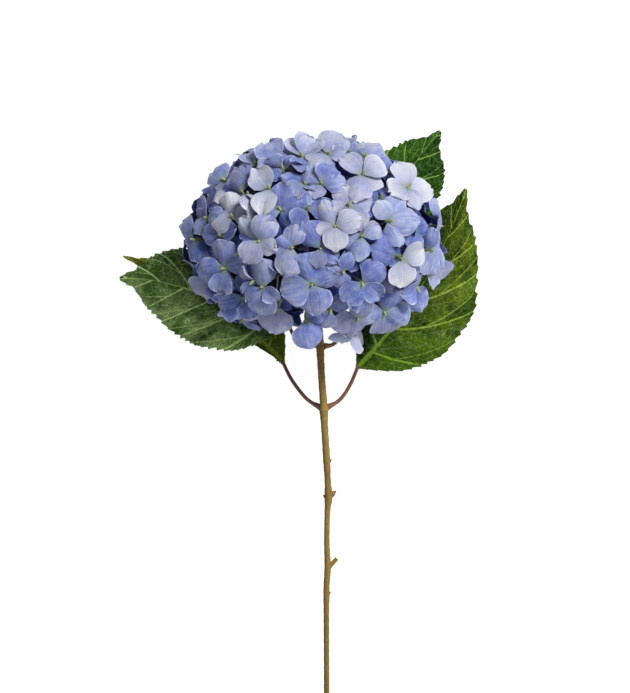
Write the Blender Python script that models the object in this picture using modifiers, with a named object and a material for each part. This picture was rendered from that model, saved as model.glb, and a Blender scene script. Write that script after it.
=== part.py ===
"""A cut hydrangea lying on a surface: a woody stem with its leaf stalks, four toothed leaves and
one round head of four-petalled florets.

Metres, +Z up. The stem lies along Y, with its cut end towards -Y. The origin is on the surface,
in the middle of the floret that the head rests on.
"""

import math

import bmesh
import bpy
import numpy as np
from mathutils import Matrix, Vector

# ---- Driving dimensions of the flower head ----
HEAD_RADII = np.array([0.0865, 0.0675, 0.0755])  # outermost florets: across, along, up
PRESSED_Z = 0.00045  # middle of a petal that lies flat on the surface
HEAD_CENTRE = np.array([0.0, 0.0, HEAD_RADII[2] + PRESSED_Z])
PETAL_LENGTH = 0.0185
PETAL_THICK = 0.0009
FLORET_COUNT = 86
LISTED_DEPTH = 0.002  # a listed floret with no lift lies this far inside the outermost shell
RULED_DEPTH = 0.004  # the others lie this far inside it, and down to three layers more
LAYER_STEP = 0.0032  # florets that overlap sit this far above one another
LAYERS = 4
LAYER_REACH = 0.56  # florets nearer than this, on a shell of radius 1, overlap
RAY_COUNT = 10  # branches of the flower stalk
RAY_REACH = 0.46  # share of the shell's radius at which a branch ends
RAY_RADIUS = 0.0014
PEDICEL_RADIUS = 0.0009  # the thin stalk under one floret
LEAN_SPREAD = 0.1  # how much a floret's facing strays, in radians
STALK_MOUTH_DEG = 37  # half angle of the bare cone round the stem
DENT_WAY = np.array([-0.91, 0.41, 0.0])  # where the head is pushed in
DENT_DEPTH, DENT_SPREAD = 0.010, 0.45
SEED = 11

# The florets that face up: (across, along, lift, petals), in millimetres. Each petal is
# (bearing, reach), seen from above and counted from +X, in degrees and millimetres. A third number
# rolls it on its own middle line, in degrees.
FRONT_FLORETS = (
    (31, 36, 2.0, ((138, 18), (28, 16), (-28, 15), (254, 18))),
    (60, 30, 1.0, ((111, 19), (5, 16), (-61, 15), (200, 13))),
    (23, 17, 0.5, ((118, 14), (18, 15), (-62, 17), (190, 13))),
    (14, 4, 1.5, ((-88, 16), (17, 18), (115, 17), (195, 12))),
    (55, -15, 2.0, ((25, 16), (-88, 18))),
    (54, -14, -1.5, ((165, 17), (-40, 16))),
    (-26, 27, 1.5, ((127, 17), (256, 18))),
    (-32, -5, 1.0, ((127, 19), (234, 16), (69, 17), (-31, 12))),
    (-49, 10, 0.5, ((100, 17), (190, 14), (10, 12))),
    (-54, 35, 0.0, ((138, 12), (200, 9), (250, 15))),
    (10, 51, 0.5, ((114, 14), (66, 17), (229, 13), (-10, 12))),
    (-6, 49, 0.5, ((156, 18), (105, 15), (55, 15), (265, 11))),
    (0, -31, 2.0, ((194, 20), (112, 19), (21, 17), (-81, 19))),
    (31, -30, 1.5, ((37, 17), (262, 18), (221, 17), (-40, 15))),
    (47, 8, 1.0, ((55, 18), (2, 20), (-59, 18), (120, 14))),
    (-30, -33, 1.5, ((270, 17), (97, 19), (229, 14), (-34, 13))),
    (-21, -45, 1.0, ((258, 18), (150, 12))),
    (6, 31, 0.0, ((123, 14), (10, 15), (243, 11), (63, 14))),
    (-19, 14, 0.0, ((88, 18), (24, 14), (-50, 14), (190, 14))),
    (-12, -9, 0.0, ((80, 14), (227, 12), (257, 19), (159, 11))),
    (5, -10, -0.5, ((120, 20), (-36, 14), (30, 14), (-100, 12))),
    (31, -2, 0.0, ((263, 16), (28, 13), (75, 12), (190, 13))),
    (-54, -21, 0.5, ((192, 18), (102, 18), (262, 17), (15, 14))),
    (-58, -1, -1.0, ((95, 16), (30, 12), (170, 12))),
    (46, -48, 0.0, ((51, 16), (-27, 18), (-87, 14), (204, 14))),
    (12, -48, -0.5, ((235, 13), (30, 12))),
    (29, -52, 1.0, ((200, 18), (250, 12), (-15, 11), (70, 12))),
    (75, -9, 0.5, ((83, 15, 65), (-36, 14), (248, 16), (-69, 15))),
    (67, -32, 0.5, ((202, 12), (-77, 16), (100, 12))),
    (-43, -40, -1.0, ((-75, 14, 50), (195, 17), (80, 12))),
    (-66, 11, 0.0, ((108, 15, 45), (160, 8, 30), (228, 12), (0, 12))),
    (-75, -2, 0.0, ((134, 14, 30), (-75, 15, 20), (200, 7))),
    (34, 51, -1.0, ((95, 12), (45, 15), (170, 12))),
    (44, 44, -3.0, ((60, 12), (0, 12))),
    (-37, 47, -1.5, ((120, 9), (70, 11), (180, 9))),
    (-67, -29, -1.0, ((215, 13), (150, 12), (-60, 14), (80, 12))),
    (66, 5, -3.0, ((-95, 14), (20, 10), (100, 12))),
    (-44, 27, -1.0, ((95, 18), (135, 14, 50), (165, 12, 60), (-100, 12))),
    (-40, 25, 0.5, ((-82, 15, 60), (-50, 10, 60))),
    (-18, 41, -0.5, ((150, 13, 55), (20, 14, 40), (200, 12))),
    (-36, -29, 0.5, ((126, 12, 40), (225, 10, 40))),
    (-3, 15, -0.5, ((4, 17), (120, 13), (-130, 13))),
    (20, -24, -0.5, ((75, 12), (170, 10), (-100, 11))),
    (-4, 31, -0.5, ((157, 16), (215, 14), (-80, 13), (70, 10))),
    (23, 56, -1.0, ((31, 13), (72, 9, 60), (200, 12, 40))),
    (78, -18, -2.0, ((-50, 13), (-88, 12))),
    (22, -61, -1.0, ((-50, 15, 72), (-112, 9))),
    (-4, -52, 0.5, ((-76, 20, 40), (20, 12))),
    (-24, 47, -2.0, ((110, 16), (70, 15), (200, 12))),
    (-31, 49, -4.0, ((130, 13), (60, 10))),
    (-47, -14, -3.0, ((45, 12), (-80, 13))),
    (44, 24, -3.0, ((20, 13), (170, 12))),
)
FLARE = 0.85  # how closely a listed petal follows the head's slope
LONGEST_PETAL = 0.021
# Corners of a petal's outline: (share of its half angle, share of its length, share of it raised)
PETAL_CORNERS = ((-1, 0.74, 0.03), (-0.42, 1.0, 0.0), (0.42, 1.0, 0.0), (1, 0.74, 0.03))
PETAL_HALF_ANGLE = math.radians(42)
NOTCH_SHARE = 0.17  # how near the centre two petals part

# ---- Stem ----
# Centre line from the flower stalk to the cut end, in millimetres: (x, y, z, radius)
STEM_LINE = (
    (4.2, -48, 69.3, 2.1),
    (5.1, -60, 66.4, 2.2),
    (5.4, -69, 64.3, 2.7),
    (5.8, -78, 62.1, 2.4),
    (6.6, -92, 58.8, 2.35),
    (7.6, -105, 55.7, 2.5),
    (7.9, -111, 54.2, 3.1),
    (8.2, -118, 52.6, 2.5),
    (9.0, -132, 49.2, 2.35),
    (9.9, -146, 45.9, 2.45),
    (10.5, -158, 43.0, 2.15),
    (11.1, -170, 40.1, 2.7),
    (10.4, -180, 37.8, 2.0),
    (10.0, -200, 33.0, 1.9),
    (10.6, -218, 28.7, 2.2),
    (9.9, -232, 25.3, 2.1),
    (9.9, -239, 23.7, 2.2),
    (9.8, -250, 21.0, 1.95),
    (10.0, -290, 11.5, 1.9),
    (10.2, -336, 0.5, 1.9),
)
STEM_STATIONS = 44
CUT_SLANT_DEG = 35
CUT_Y = -0.330

# Side buds and the stub of a cut shoot, in millimetres and degrees:
# (distance along -Y, direction round the stem, length, base radius, end radius, angle to the stem)
SIDE_GROWTHS = (
    (147, 0, 4.2, 1.6, 0.7, 50),
    (170, 0, 6.6, 2.5, 0.4, 52),
    (171, 180, 4.3, 1.9, 0.4, 60),
    (220, 0, 9.5, 2.3, 1.1, 42),
    (238, 0, 3.4, 1.7, 0.9, 60),
    (112, 90, 4.6, 1.6, 0.4, 42),
    (70, 90, 4.6, 1.5, 0.4, 42),
)

# ---- Leaves, in millimetres. Left and right are seen from the base, looking to the tip ----
# stalk: points from the stem to the blade. midrib: Bezier control points of the blade.
# half: greatest half width, left and right. taper: how slowly those halves widen from the base.
# drawn: how far those halves draw in towards the tip.
# rise: height of the margins over the midrib. wave: height, count and phase of their ripples.
LEAVES = {
    "leaf_upper_left": {
        "stalk": ((4.2, -68, 63.6), (-5.0, -68.0, 56.0), (-12.0, -62, 38.0), (-16.0, -54, 21.0)),
        "midrib": ((-16.0, -54, 21.0), (-46, -50, 6), (-86, -20, 20), (-134, -22, 7)),
        "half": (36, 34.5),
        "taper": (1.08, 1.05),
        "drawn": (0.2, 0.2),
        "rise": (-12, -9),
        "wave": (1.3, 2.5, 0.4),
    },
    "leaf_lower_left": {
        "stalk": ((6.7, -110, 53.5), (-3.5, -104, 45.0), (-13.5, -92, 29.0), (-20.0, -80, 15.0)),
        "midrib": ((-20.0, -80, 15.0), (-45, -52, -6), (-88, -24, 3), (-132, -6, 4)),
        "half": (9, 34),
        "taper": (1.0, 0.95),
        "drawn": (0.2, 0.72),
        "rise": (-1, -1),
        "wave": (0.6, 2.0, 2.0),
    },
    "leaf_lower_right": {
        "stalk": ((9.0, -110, 53.5), (18.5, -104.5, 48.0), (25.5, -95, 38.0), (31.0, -83, 28.0)),
        "midrib": ((31.0, -83, 28.0), (58, -56, 4), (88, -18, 10), (106, 40, 17)),
        "half": (32, 43),
        "taper": (0.95, 0.97),
        "drawn": (0.0, 0.5),
        "rise": (-4, -8),
        "wave": (1.4, 2.5, 1.2),
    },
    "leaf_upper_right": {
        "stalk": ((6.8, -69, 62.0), (16.0, -66, 38.0), (27.0, -48, 16.0), (38.0, -18, 4.0)),
        "midrib": ((38.0, -18, 4.0), (44, 14, 1), (62, 50, 2), (88.5, 80, 12)),
        "half": (31, 30),
        "taper": (1.0, 1.2),
        "drawn": (0.38, 0.0),
        "rise": (0, -1),
        "wave": (0.8, 2.0, 0.0),
    },
}
BLADE_THICK = 0.0009
RIB_THICK = 0.0022  # the blade with the midrib that stands out under it
BLADE_STATIONS = 30
BLADE_CELLS_ACROSS = 4
TIP_NECK = (0.85, 0.93)  # where the margins draw in to the tip, as shares of the blade
TOOTH_DEPTH = 0.075  # share of the half width
VEIN_PAIRS = 7
VEIN_SWEEP = 0.30  # how far the side veins run forward, as a share of the blade
QUILT_HEIGHT = 0.0011  # how far the blade swells between two side veins
STALK_RADIUS = 0.00125
SEAT_GAP = 0.0003  # clearance between the flower stalk and the stem
LEAF_GAP = 0.0005  # clearance between a blade and its stalk, along the midrib

BLUE = (0.215, 0.262, 0.608, 1.0)
GREEN = (0.070, 0.165, 0.040, 1.0)
BARK = (0.235, 0.140, 0.055, 1.0)


def clear_scene():
    for obj in list(bpy.data.objects):
        bpy.data.objects.remove(obj)


def new_collection(name):
    collection = bpy.data.collections.new(name)
    bpy.context.scene.collection.children.link(collection)
    return collection


def new_material(name, colour, roughness):
    material = bpy.data.materials.new(name)
    material.use_nodes = True
    shader = material.node_tree.nodes["Principled BSDF"]
    shader.inputs["Base Color"].default_value = colour
    shader.inputs["Roughness"].default_value = roughness
    return material


def new_object(name, mesh, collection):
    obj = bpy.data.objects.new(name, mesh)
    collection.objects.link(obj)
    return obj


def mesh_from(bm, name):
    mesh = bpy.data.meshes.new(name)
    bm.to_mesh(mesh)
    bm.free()
    return mesh


def millimetres(points):
    return np.array(points, float) / 1000


def unit(vectors):
    return vectors / np.linalg.norm(vectors, axis=-1, keepdims=True)


def smooth_line(points, count):
    """Points at even steps of the Catmull-Rom curve that passes through the given ones."""
    points = np.array(points, float)
    padded = np.vstack([2 * points[0] - points[1], points, 2 * points[-1] - points[-2]])
    at = np.linspace(0, len(points) - 1, count)
    first = np.minimum(at.astype(int), len(points) - 2)
    t = (at - first)[:, None]
    p0, p1, p2, p3 = (padded[first + k] for k in range(4))
    bend = 2 * p0 - 5 * p1 + 4 * p2 - p3
    return 0.5 * (2 * p1 + (p2 - p0) * t + bend * t**2 + (3 * p1 - p0 - 3 * p2 + p3) * t**3)


def bezier(controls, share):
    """Points of a cubic Bezier curve at the given shares of it, and its unit tangents there."""
    a, b, c, d = np.array(controls, float)
    t = np.asarray(share, float)[..., None]
    point = (1 - t) ** 3 * a + 3 * (1 - t) ** 2 * t * b + 3 * (1 - t) * t**2 * c + t**3 * d
    slope = (1 - t) ** 2 * (b - a) + 2 * (1 - t) * t * (c - b) + t**2 * (d - c)
    return point, unit(slope)


def tube(name, points, radii, collection, sides_resolution=2):
    """A round bar along the points, as a closed mesh. It is a curve first, for its bevel and caps."""
    curve = bpy.data.curves.new(name, "CURVE")
    curve.dimensions = "3D"
    curve.bevel_depth = 1.0
    curve.bevel_resolution = sides_resolution
    curve.use_fill_caps = True
    spline = curve.splines.new("POLY")
    spline.points.add(len(points) - 1)
    for target, point, radius in zip(spline.points, points, radii):
        target.co = (*point, 1)
        target.radius = radius
    guide = new_object(name + "_line", curve, collection)
    graph = bpy.context.evaluated_depsgraph_get()
    mesh = bpy.data.meshes.new_from_object(guide.evaluated_get(graph))
    bpy.data.objects.remove(guide)
    bm = bmesh.new()
    bm.from_mesh(mesh)
    bmesh.ops.remove_doubles(bm, verts=bm.verts, dist=1e-6)
    return new_object(name, mesh_from(bm, name), collection)


def cone_between(name, start, end, start_radius, end_radius, sides, collection):
    """A straight tapered bar from start to end."""
    axis = Vector(end) - Vector(start)
    turn = axis.to_track_quat("Z", "Y").to_matrix().to_4x4()
    place = Matrix.Translation((Vector(start) + Vector(end)) / 2) @ turn
    bm = bmesh.new()
    bmesh.ops.create_cone(
        bm,
        cap_ends=True,
        segments=sides,
        radius1=start_radius,
        radius2=end_radius,
        depth=axis.length,
        matrix=place,
    )
    return new_object(name, mesh_from(bm, name), collection)


def fuse(base, repeats):
    """Joins the collection's objects to base in one union, and removes them."""
    union = base.modifiers.new("fuse", "BOOLEAN")
    union.operation = "UNION"
    union.operand_type = "COLLECTION"
    union.collection = repeats
    union.solver = "MANIFOLD"
    graph = bpy.context.evaluated_depsgraph_get()
    joined = bpy.data.meshes.new_from_object(base.evaluated_get(graph))
    base.modifiers.clear()
    base.data = joined
    for obj in list(repeats.objects):
        bpy.data.objects.remove(obj)
    bpy.data.collections.remove(repeats)


def keep_largest_body(obj):
    """Fills the small hollows that pieces enclose where they cross: their walls are loose from
    the outer surface, which has the most faces."""
    bm = bmesh.new()
    bm.from_mesh(obj.data)
    loose = set(bm.faces)
    bodies = []
    while loose:
        body = {loose.pop()}
        edge = list(body)
        while edge:
            face = edge.pop()
            for side in face.edges:
                for other in side.link_faces:
                    if other in loose:
                        loose.remove(other)
                        body.add(other)
                        edge.append(other)
        bodies.append(body)
    largest = max(bodies, key=len)
    extra = [face for body in bodies if body is not largest for face in body]
    bmesh.ops.delete(bm, geom=extra, context="FACES")
    bm.to_mesh(obj.data)
    bm.free()


# ---- Flower head ----


def even_directions(count):
    """Unit vectors spread evenly over a sphere, on a golden-angle spiral."""
    k = np.arange(count) + 0.5
    turn = k * math.pi * (3 - math.sqrt(5))
    height = 1 - 2 * k / count
    ring = np.sqrt(1 - height**2)
    return np.stack([ring * np.cos(turn), height, ring * np.sin(turn)], axis=1)


def listed_directions():
    """Unit directions of the listed florets. One that is listed past the shell's edge lies on its
    widest line."""
    across_along = millimetres([row[:2] for row in FRONT_FLORETS]) / HEAD_RADII[:2]
    reach = np.linalg.norm(across_along, axis=1, keepdims=True)
    across_along /= np.maximum(reach, 1)
    up = np.sqrt(np.maximum(0, 1 - (across_along**2).sum(axis=1)))
    return np.column_stack([across_along, up])


def floret_directions():
    """Unit directions of all florets: the listed ones, the one underneath, and the rest spread
    over what is free by letting them push each other apart. The mouth round the stem stays bare."""
    fixed = np.vstack([listed_directions(), [0, 0, -1]])
    mouth = math.cos(math.radians(STALK_MOUTH_DEG))
    spare = even_directions(3 * FLORET_COUNT)
    spare = spare[-spare[:, 1] < mouth]
    chosen = fixed
    while len(chosen) < FLORET_COUNT:
        nearest = (spare @ chosen.T).max(axis=1)
        chosen = np.vstack([chosen, spare[nearest.argmin()]])
    free = chosen[len(fixed) :]
    for _ in range(60):
        everyone = np.vstack([fixed, free])
        away = free[:, None] - everyone[None]
        distance = np.linalg.norm(away, axis=2, keepdims=True) + 1e-9
        push = (away / distance * np.exp(-((distance / 0.28) ** 2))).sum(axis=1)
        free = free + 0.05 * push
        free[:, 1] = np.maximum(free[:, 1], -mouth * np.linalg.norm(free, axis=1))
        free /= np.linalg.norm(free, axis=1, keepdims=True)
    return np.vstack([fixed, free])


def floret_layers(directions):
    """A layer for each floret, so that its petals pass over or under the ones beside it: each
    takes the layer whose nearest floret is farthest away."""
    layers = np.full(len(directions), -1)
    for k, way in enumerate(directions):
        near = np.linalg.norm(directions - way, axis=1)
        room = [near[layers == layer].min(initial=LAYER_REACH) for layer in range(LAYERS)]
        layers[k] = int(np.argmax(room))
    return layers


def square_to(vectors, axes):
    """The unit part of vectors that is square to unit axes."""
    return unit(vectors - (vectors * axes).sum(axis=-1, keepdims=True) * axes)


def floret_axes(facing):
    """Two unit vectors square to each facing direction: the first as near +X as it can be."""
    steep = np.abs(facing[:, :1]) > 0.95
    first = square_to(np.where(steep, [0.0, 0.0, 1.0], [1.0, 0.0, 0.0]), facing)
    return first, np.cross(facing, first)


def floret_plan():
    """Every floret's centre and facing, as arrays with a row for each."""
    rng = np.random.default_rng(SEED)
    directions = floret_directions()
    listed = len(FRONT_FLORETS)
    depth = RULED_DEPTH + LAYER_STEP * floret_layers(directions)
    lift = millimetres([row[2] for row in FRONT_FLORETS])
    depth[:listed] = LISTED_DEPTH - lift
    depth[listed] = 0
    off_dent = np.arccos(np.clip(directions @ DENT_WAY, -1, 1))
    dent = DENT_DEPTH * np.exp(-((off_dent / DENT_SPREAD) ** 2))
    dent[: listed + 1] = 0
    lean = rng.normal(0, LEAN_SPREAD, directions.shape)
    lean[: listed + 1] = 0
    facing = unit(directions / HEAD_RADII)
    centre = HEAD_CENTRE + directions * HEAD_RADII - (depth + dent)[:, None] * facing
    return {"centre": centre, "facing": unit(facing + lean)}


def listed_petals(plan):
    """Petals of the listed florets. Seen from above, one leaves its floret's centre at its bearing
    and ends at its reach; it falls or climbs with the head's slope there, times FLARE."""
    rows = []
    for k, row in enumerate(FRONT_FLORETS):
        for bearing, reach, *roll in row[3]:
            rows.append((k, math.radians(bearing), reach / 1000, math.radians(sum(roll))))
    owner, bearing, reach, roll = np.array(rows).T
    owner = owner.astype(int)
    facing = plan["facing"][owner]
    way = np.stack([np.cos(bearing), np.sin(bearing)], axis=1)
    slope = -(facing[:, :2] * way).sum(axis=1) / np.maximum(facing[:, 2], 0.05)
    most = np.sqrt(np.maximum(LONGEST_PETAL**2 - reach**2, 0))
    climb = np.clip(FLARE * slope * reach, -most, most)
    spine = np.column_stack([way * reach[:, None], climb])
    length = np.linalg.norm(spine, axis=1)
    axis = spine / length[:, None]
    flat = square_to(facing + [0, 0, 0.5], axis)
    side = np.cross(flat, axis)
    normal = flat * np.cos(roll)[:, None] + side * np.sin(roll)[:, None]
    return {"owner": owner, "axis": axis, "normal": normal, "length": length}


def ruled_petals(plan, owners, length, rng):
    """Four petals a quarter turn apart for each of the given florets, in its own plane."""
    count = len(owners)
    spin = rng.uniform(0, math.pi / 2, (count, 1)) + np.radians([0, 90, 180, 270])
    spin = (spin + rng.uniform(-0.12, 0.12, (count, 4)))[..., None]
    first, second = (axis[:, None] for axis in floret_axes(plan["facing"][owners]))
    facing = plan["facing"][owners][:, None]
    rise = rng.uniform(-0.30, 0.12, (count, 4, 1)) * (owners != len(FRONT_FLORETS))[:, None, None]
    axis = unit(np.cos(spin) * first + np.sin(spin) * second + rise * facing)
    normal = square_to(np.broadcast_to(facing, axis.shape), axis)
    size = rng.uniform(0.88, 1.1, (count, 1)) * rng.uniform(0.92, 1.06, (count, 4))
    return {
        "owner": np.repeat(owners, 4),
        "axis": axis.reshape(-1, 3),
        "normal": normal.reshape(-1, 3),
        "length": (length * size).ravel(),
    }


def add_floret(name, plan, petals, index, collection):
    """Petals round a small middle face, given their thickness by Solidify. Neighbouring petals
    share a corner of that face, unless they stand far apart."""
    centre, facing = plan["centre"][index], plan["facing"][index]
    first, second = (axes[0] for axes in floret_axes(facing[None]))
    own = np.flatnonzero(petals["owner"] == index)
    bearing = np.arctan2(petals["axis"][own] @ second, petals["axis"][own] @ first)
    order = np.argsort(bearing)
    own, bearing = own[order], bearing[order]
    room = np.diff(bearing, append=bearing[0] + 2 * math.pi)
    bm = bmesh.new()

    def corner(place):
        return bm.verts.new((place[0], place[1], max(place[2], PRESSED_Z)))

    def notch(angle):
        spread = math.cos(angle) * first + math.sin(angle) * second
        return corner(centre + NOTCH_SHARE * PETAL_LENGTH * spread)

    after, before = [], []
    for angle, gap in zip(bearing, room):
        near = notch(angle + min(gap / 2, math.pi / 4))
        after.append(near)
        before.append(near if gap < 1.75 else notch(angle + gap - math.pi / 4))
    before = before[-1:] + before[:-1]
    bm.faces.new(dict.fromkeys(end for pair in zip(before, after) for end in pair))
    for k, petal in enumerate(own):
        half_angle = min(PETAL_HALF_ANGLE, 0.49 * room[k], 0.49 * room[k - 1])
        axis, normal = petals["axis"][petal], petals["normal"][petal]
        side, length = np.cross(normal, axis), petals["length"][petal]
        rim = []
        for share, reach, lift in PETAL_CORNERS:
            angle = share * half_angle
            way = math.cos(angle) * axis + math.sin(angle) * side
            rim.append(corner(centre + length * (reach * way + lift * normal)))
        bm.faces.new([before[k], *rim, after[k]])
    bmesh.ops.triangulate(bm, faces=bm.faces)
    obj = new_object(name, mesh_from(bm, name), collection)
    wall = obj.modifiers.new("thickness", "SOLIDIFY")
    wall.thickness = PETAL_THICK
    wall.offset = 0
    return obj


def build_head(parts, material):
    """The flower stalk's branches and thin stalks, with a floret on each, as one solid."""
    plan = floret_plan()
    ruled = np.arange(len(FRONT_FLORETS), FLORET_COUNT)
    by_rule = ruled_petals(plan, ruled, PETAL_LENGTH, np.random.default_rng(SEED + 1))
    listed = listed_petals(plan)
    petals = {key: np.concatenate([listed[key], by_rule[key]]) for key in listed}
    repeats = new_collection("florets")
    hub = millimetres(STEM_LINE[0][:3])
    stem_way = hub - millimetres(STEM_LINE[1][:3])
    stem_way = unit(stem_way)
    hub_start = hub + SEAT_GAP * stem_way
    head = cone_between(
        "flower_head", hub_start, hub + 0.012 * stem_way, 0.0021, 0.0026, 8, parts
    )
    mouth = math.cos(math.radians(STALK_MOUTH_DEG + 12))
    ray_ways = even_directions(RAY_COUNT + 2)
    ray_ways = ray_ways[-ray_ways[:, 1] < mouth]
    ray_ends = HEAD_CENTRE + ray_ways * HEAD_RADII * RAY_REACH
    for k, end in enumerate(ray_ends):
        start = hub + 0.006 * stem_way
        cone_between(f"ray_{k}", start, end, 1.25 * RAY_RADIUS, RAY_RADIUS, 5, repeats)
    nearest = (unit(plan["centre"] - HEAD_CENTRE) @ ray_ways.T).argmax(axis=1)
    for k, ray in enumerate(nearest):
        add_floret(f"floret_{k}", plan, petals, k, repeats)
        root = ray_ends[ray] + 0.02 * (hub - ray_ends[ray])
        tip = plan["centre"][k] + 0.0008 * plan["facing"][k]
        if k == len(FRONT_FLORETS):
            tip = plan["centre"][k]
        cone_between(f"pedicel_{k}", root, tip, PEDICEL_RADIUS, 1.2 * PEDICEL_RADIUS, 3, repeats)
    fuse(head, repeats)
    keep_largest_body(head)
    head.data.materials.clear()
    head.data.materials.append(material)
    return head


# ---- Leaves ----


def blade_half_width(share, taper, drawn):
    """Half width of the blade at a share of its length, as a share of the greatest: an oval, less
    full towards the base, that starts at the width of the leaf stalk, draws in over its outer part
    and narrows sharply into the tip."""
    share = np.clip(share, 0, 1)
    fullness = 0.62 + 0.35 * np.clip(1 - share / 0.35, 0, 1)
    oval = np.sin(math.pi * share**taper) ** fullness
    neck = np.clip((share - TIP_NECK[0]) / (TIP_NECK[1] - TIP_NECK[0]), 0, 1)
    drawn_out = (1 - drawn * np.clip((share - 0.6) / 0.4, 0, 1)) * (1 - 0.45 * neck)
    return 0.035 * (1 - share) + 0.965 * oval * drawn_out


def blade_surface(leaf, share, across):
    """Points of the blade, in metres. share runs from the base (0) to the tip (1) and across from
    the right margin (-1) to the left (1). Grid lines of equal share run along the side veins."""
    share, across = np.asarray(share, float), np.asarray(across, float)
    out = np.abs(across)
    sweep = VEIN_SWEEP * (1 - share) * np.minimum(1, share / 0.25) * share**0.35
    reached = share + sweep
    point, way = bezier(millimetres(leaf["midrib"]), share + sweep * out)
    side = np.stack([-way[..., 1], way[..., 0], np.zeros(way.shape[:-1])], axis=-1)
    side = unit(side)
    left = across > 0
    half = np.where(left, leaf["half"][0], leaf["half"][1]) / 1000
    rise = np.where(left, leaf["rise"][0], leaf["rise"][1]) / 1000
    taper, drawn = np.where(left, *leaf["taper"]), np.where(left, *leaf["drawn"])
    width = blade_half_width(reached, taper, drawn)
    size, turns, phase = leaf["wave"]
    lift = rise * width * out**1.4
    lift = lift + size / 1000 * width * out**2 * np.sin(2 * math.pi * turns * reached + phase)
    swell = np.abs(np.sin(math.pi * VEIN_PAIRS * share)) - 0.5
    lift = lift + QUILT_HEIGHT * swell * np.minimum(1, 2.5 * width) * out * (1.6 - out)
    point = point + side * (half * width * across)[..., None]
    point[..., 2] += lift
    return point


def build_leaf(name, leaf, parts, material):
    """A toothed blade: a grid laid along the side veins, and thicker along the midrib."""
    bm = bmesh.new()
    bmesh.ops.create_grid(
        bm, x_segments=BLADE_CELLS_ACROSS, y_segments=BLADE_STATIONS, size=0.5
    )
    grid = np.array([vert.co[:2] for vert in bm.verts]) * 2
    across = grid[:, 0]
    share = (grid[:, 1] + 1) / 2
    station = np.round(share * BLADE_STATIONS).astype(int)
    margin = np.abs(across) > 0.99
    valley = margin & (station % 2 == 0) & (station > 0) & (station < BLADE_STATIONS)
    places = blade_surface(leaf, share * 0.995, across * np.where(valley, 1 - TOOTH_DEPTH, 1))
    on_rib = np.abs(across) < 0.01
    way = places[on_rib & (station == 1)][0] - places[on_rib & (station == 0)][0]
    places += LEAF_GAP * unit(way)
    floor = np.where(on_rib, RIB_THICK, BLADE_THICK)
    places[:, 2] = np.maximum(places[:, 2], floor)
    for vert, place in zip(bm.verts, places):
        vert.co = place
    bmesh.ops.triangulate(bm, faces=bm.faces)
    bmesh.ops.recalc_face_normals(bm, faces=bm.faces)
    if sum(face.normal.z for face in bm.faces) < 0:
        bmesh.ops.reverse_faces(bm, faces=bm.faces)
    obj = new_object(name, mesh_from(bm, name), parts)
    obj.data.materials.append(material)
    rib = obj.vertex_groups.new(name="rib")
    rest = BLADE_THICK / RIB_THICK
    for index in range(len(places)):
        taper = 1 - 0.6 * share[index]
        weight = max(rest, taper) if on_rib[index] else rest
        rib.add([index], weight, "REPLACE")
    wall = obj.modifiers.new("thickness", "SOLIDIFY")
    wall.thickness = RIB_THICK
    wall.offset = -1
    wall.vertex_group = "rib"
    return obj


# ---- Stem ----


def stem_at(distance):
    """The stem's centre, in metres, at a distance along -Y in millimetres."""
    table = np.array(STEM_LINE, float)
    return millimetres([np.interp(distance, -table[:, 1], table[:, k]) for k in range(3)])


def build_stem(parts, material):
    """The woody stem, with the leaf stalks, buds and stub that grow from it, as one solid."""
    line = smooth_line(STEM_LINE, STEM_STATIONS) / 1000
    stem = tube("stem", line[:, :3], line[:, 3], parts, 3)
    repeats = new_collection("side_growths")
    for k, (distance, round_deg, length, base, end, lean_deg) in enumerate(SIDE_GROWTHS):
        centre = stem_at(distance)
        outward = Vector((math.cos(math.radians(round_deg)), 0, math.sin(math.radians(round_deg))))
        lean = math.radians(lean_deg)
        way = math.sin(lean) * outward + Vector((0, math.cos(lean), 0))
        tip = Vector(centre) + way * length / 1000
        foot = Vector(centre) - way * 0.0005
        cone_between(f"side_growth_{k}", foot, tip, base / 1000, end / 1000, 6, repeats)
    for name, leaf in LEAVES.items():
        points = smooth_line(leaf["stalk"], 11) / 1000
        swelling = np.interp(np.linspace(0, 1, 11), [0, 0.22, 1], [1.9, 1.0, 0.92])
        tube(name + "_stalk", points, STALK_RADIUS * swelling, repeats, 1)
    fuse(stem, repeats)
    bm = bmesh.new()
    bm.from_mesh(stem.data)
    slant = math.radians(CUT_SLANT_DEG)
    cut = bmesh.ops.bisect_plane(
        bm,
        geom=[*bm.verts, *bm.edges, *bm.faces],
        plane_co=(0, CUT_Y, 0),
        plane_no=(0, -math.cos(slant), math.sin(slant)),
        clear_outer=True,
    )
    rim = [part for part in cut["geom_cut"] if isinstance(part, bmesh.types.BMEdge)]
    bmesh.ops.holes_fill(bm, edges=rim)
    for vert in bm.verts:
        vert.co.z = max(vert.co.z, 0)
    bm.to_mesh(stem.data)
    bm.free()
    stem.data.materials.clear()
    stem.data.materials.append(material)
    return stem


def main():
    clear_scene()
    parts = new_collection("cut_hydrangea")
    petals = new_material("petal_blue", BLUE, 0.6)
    green = new_material("leaf_green", GREEN, 0.5)
    bark = new_material("stem_bark", BARK, 0.65)
    build_stem(parts, bark)
    for name, leaf in LEAVES.items():
        build_leaf(name, leaf, parts, green)
    build_head(parts, petals)


main()
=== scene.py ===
"""The looks of a cut hydrangea that lies on a pale surface: sepals, leaves, bark and buds.

Every new piece is a surface worked out with numpy. A sheet (sepal or leaf blade) is a grid of points
with a thickness; a round thing (stem, stalk or bud) is a ring carried along a path and closed at both
ends. Places repeat the named values of the part's source, in the same frame, in metres.
"""

import math

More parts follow.
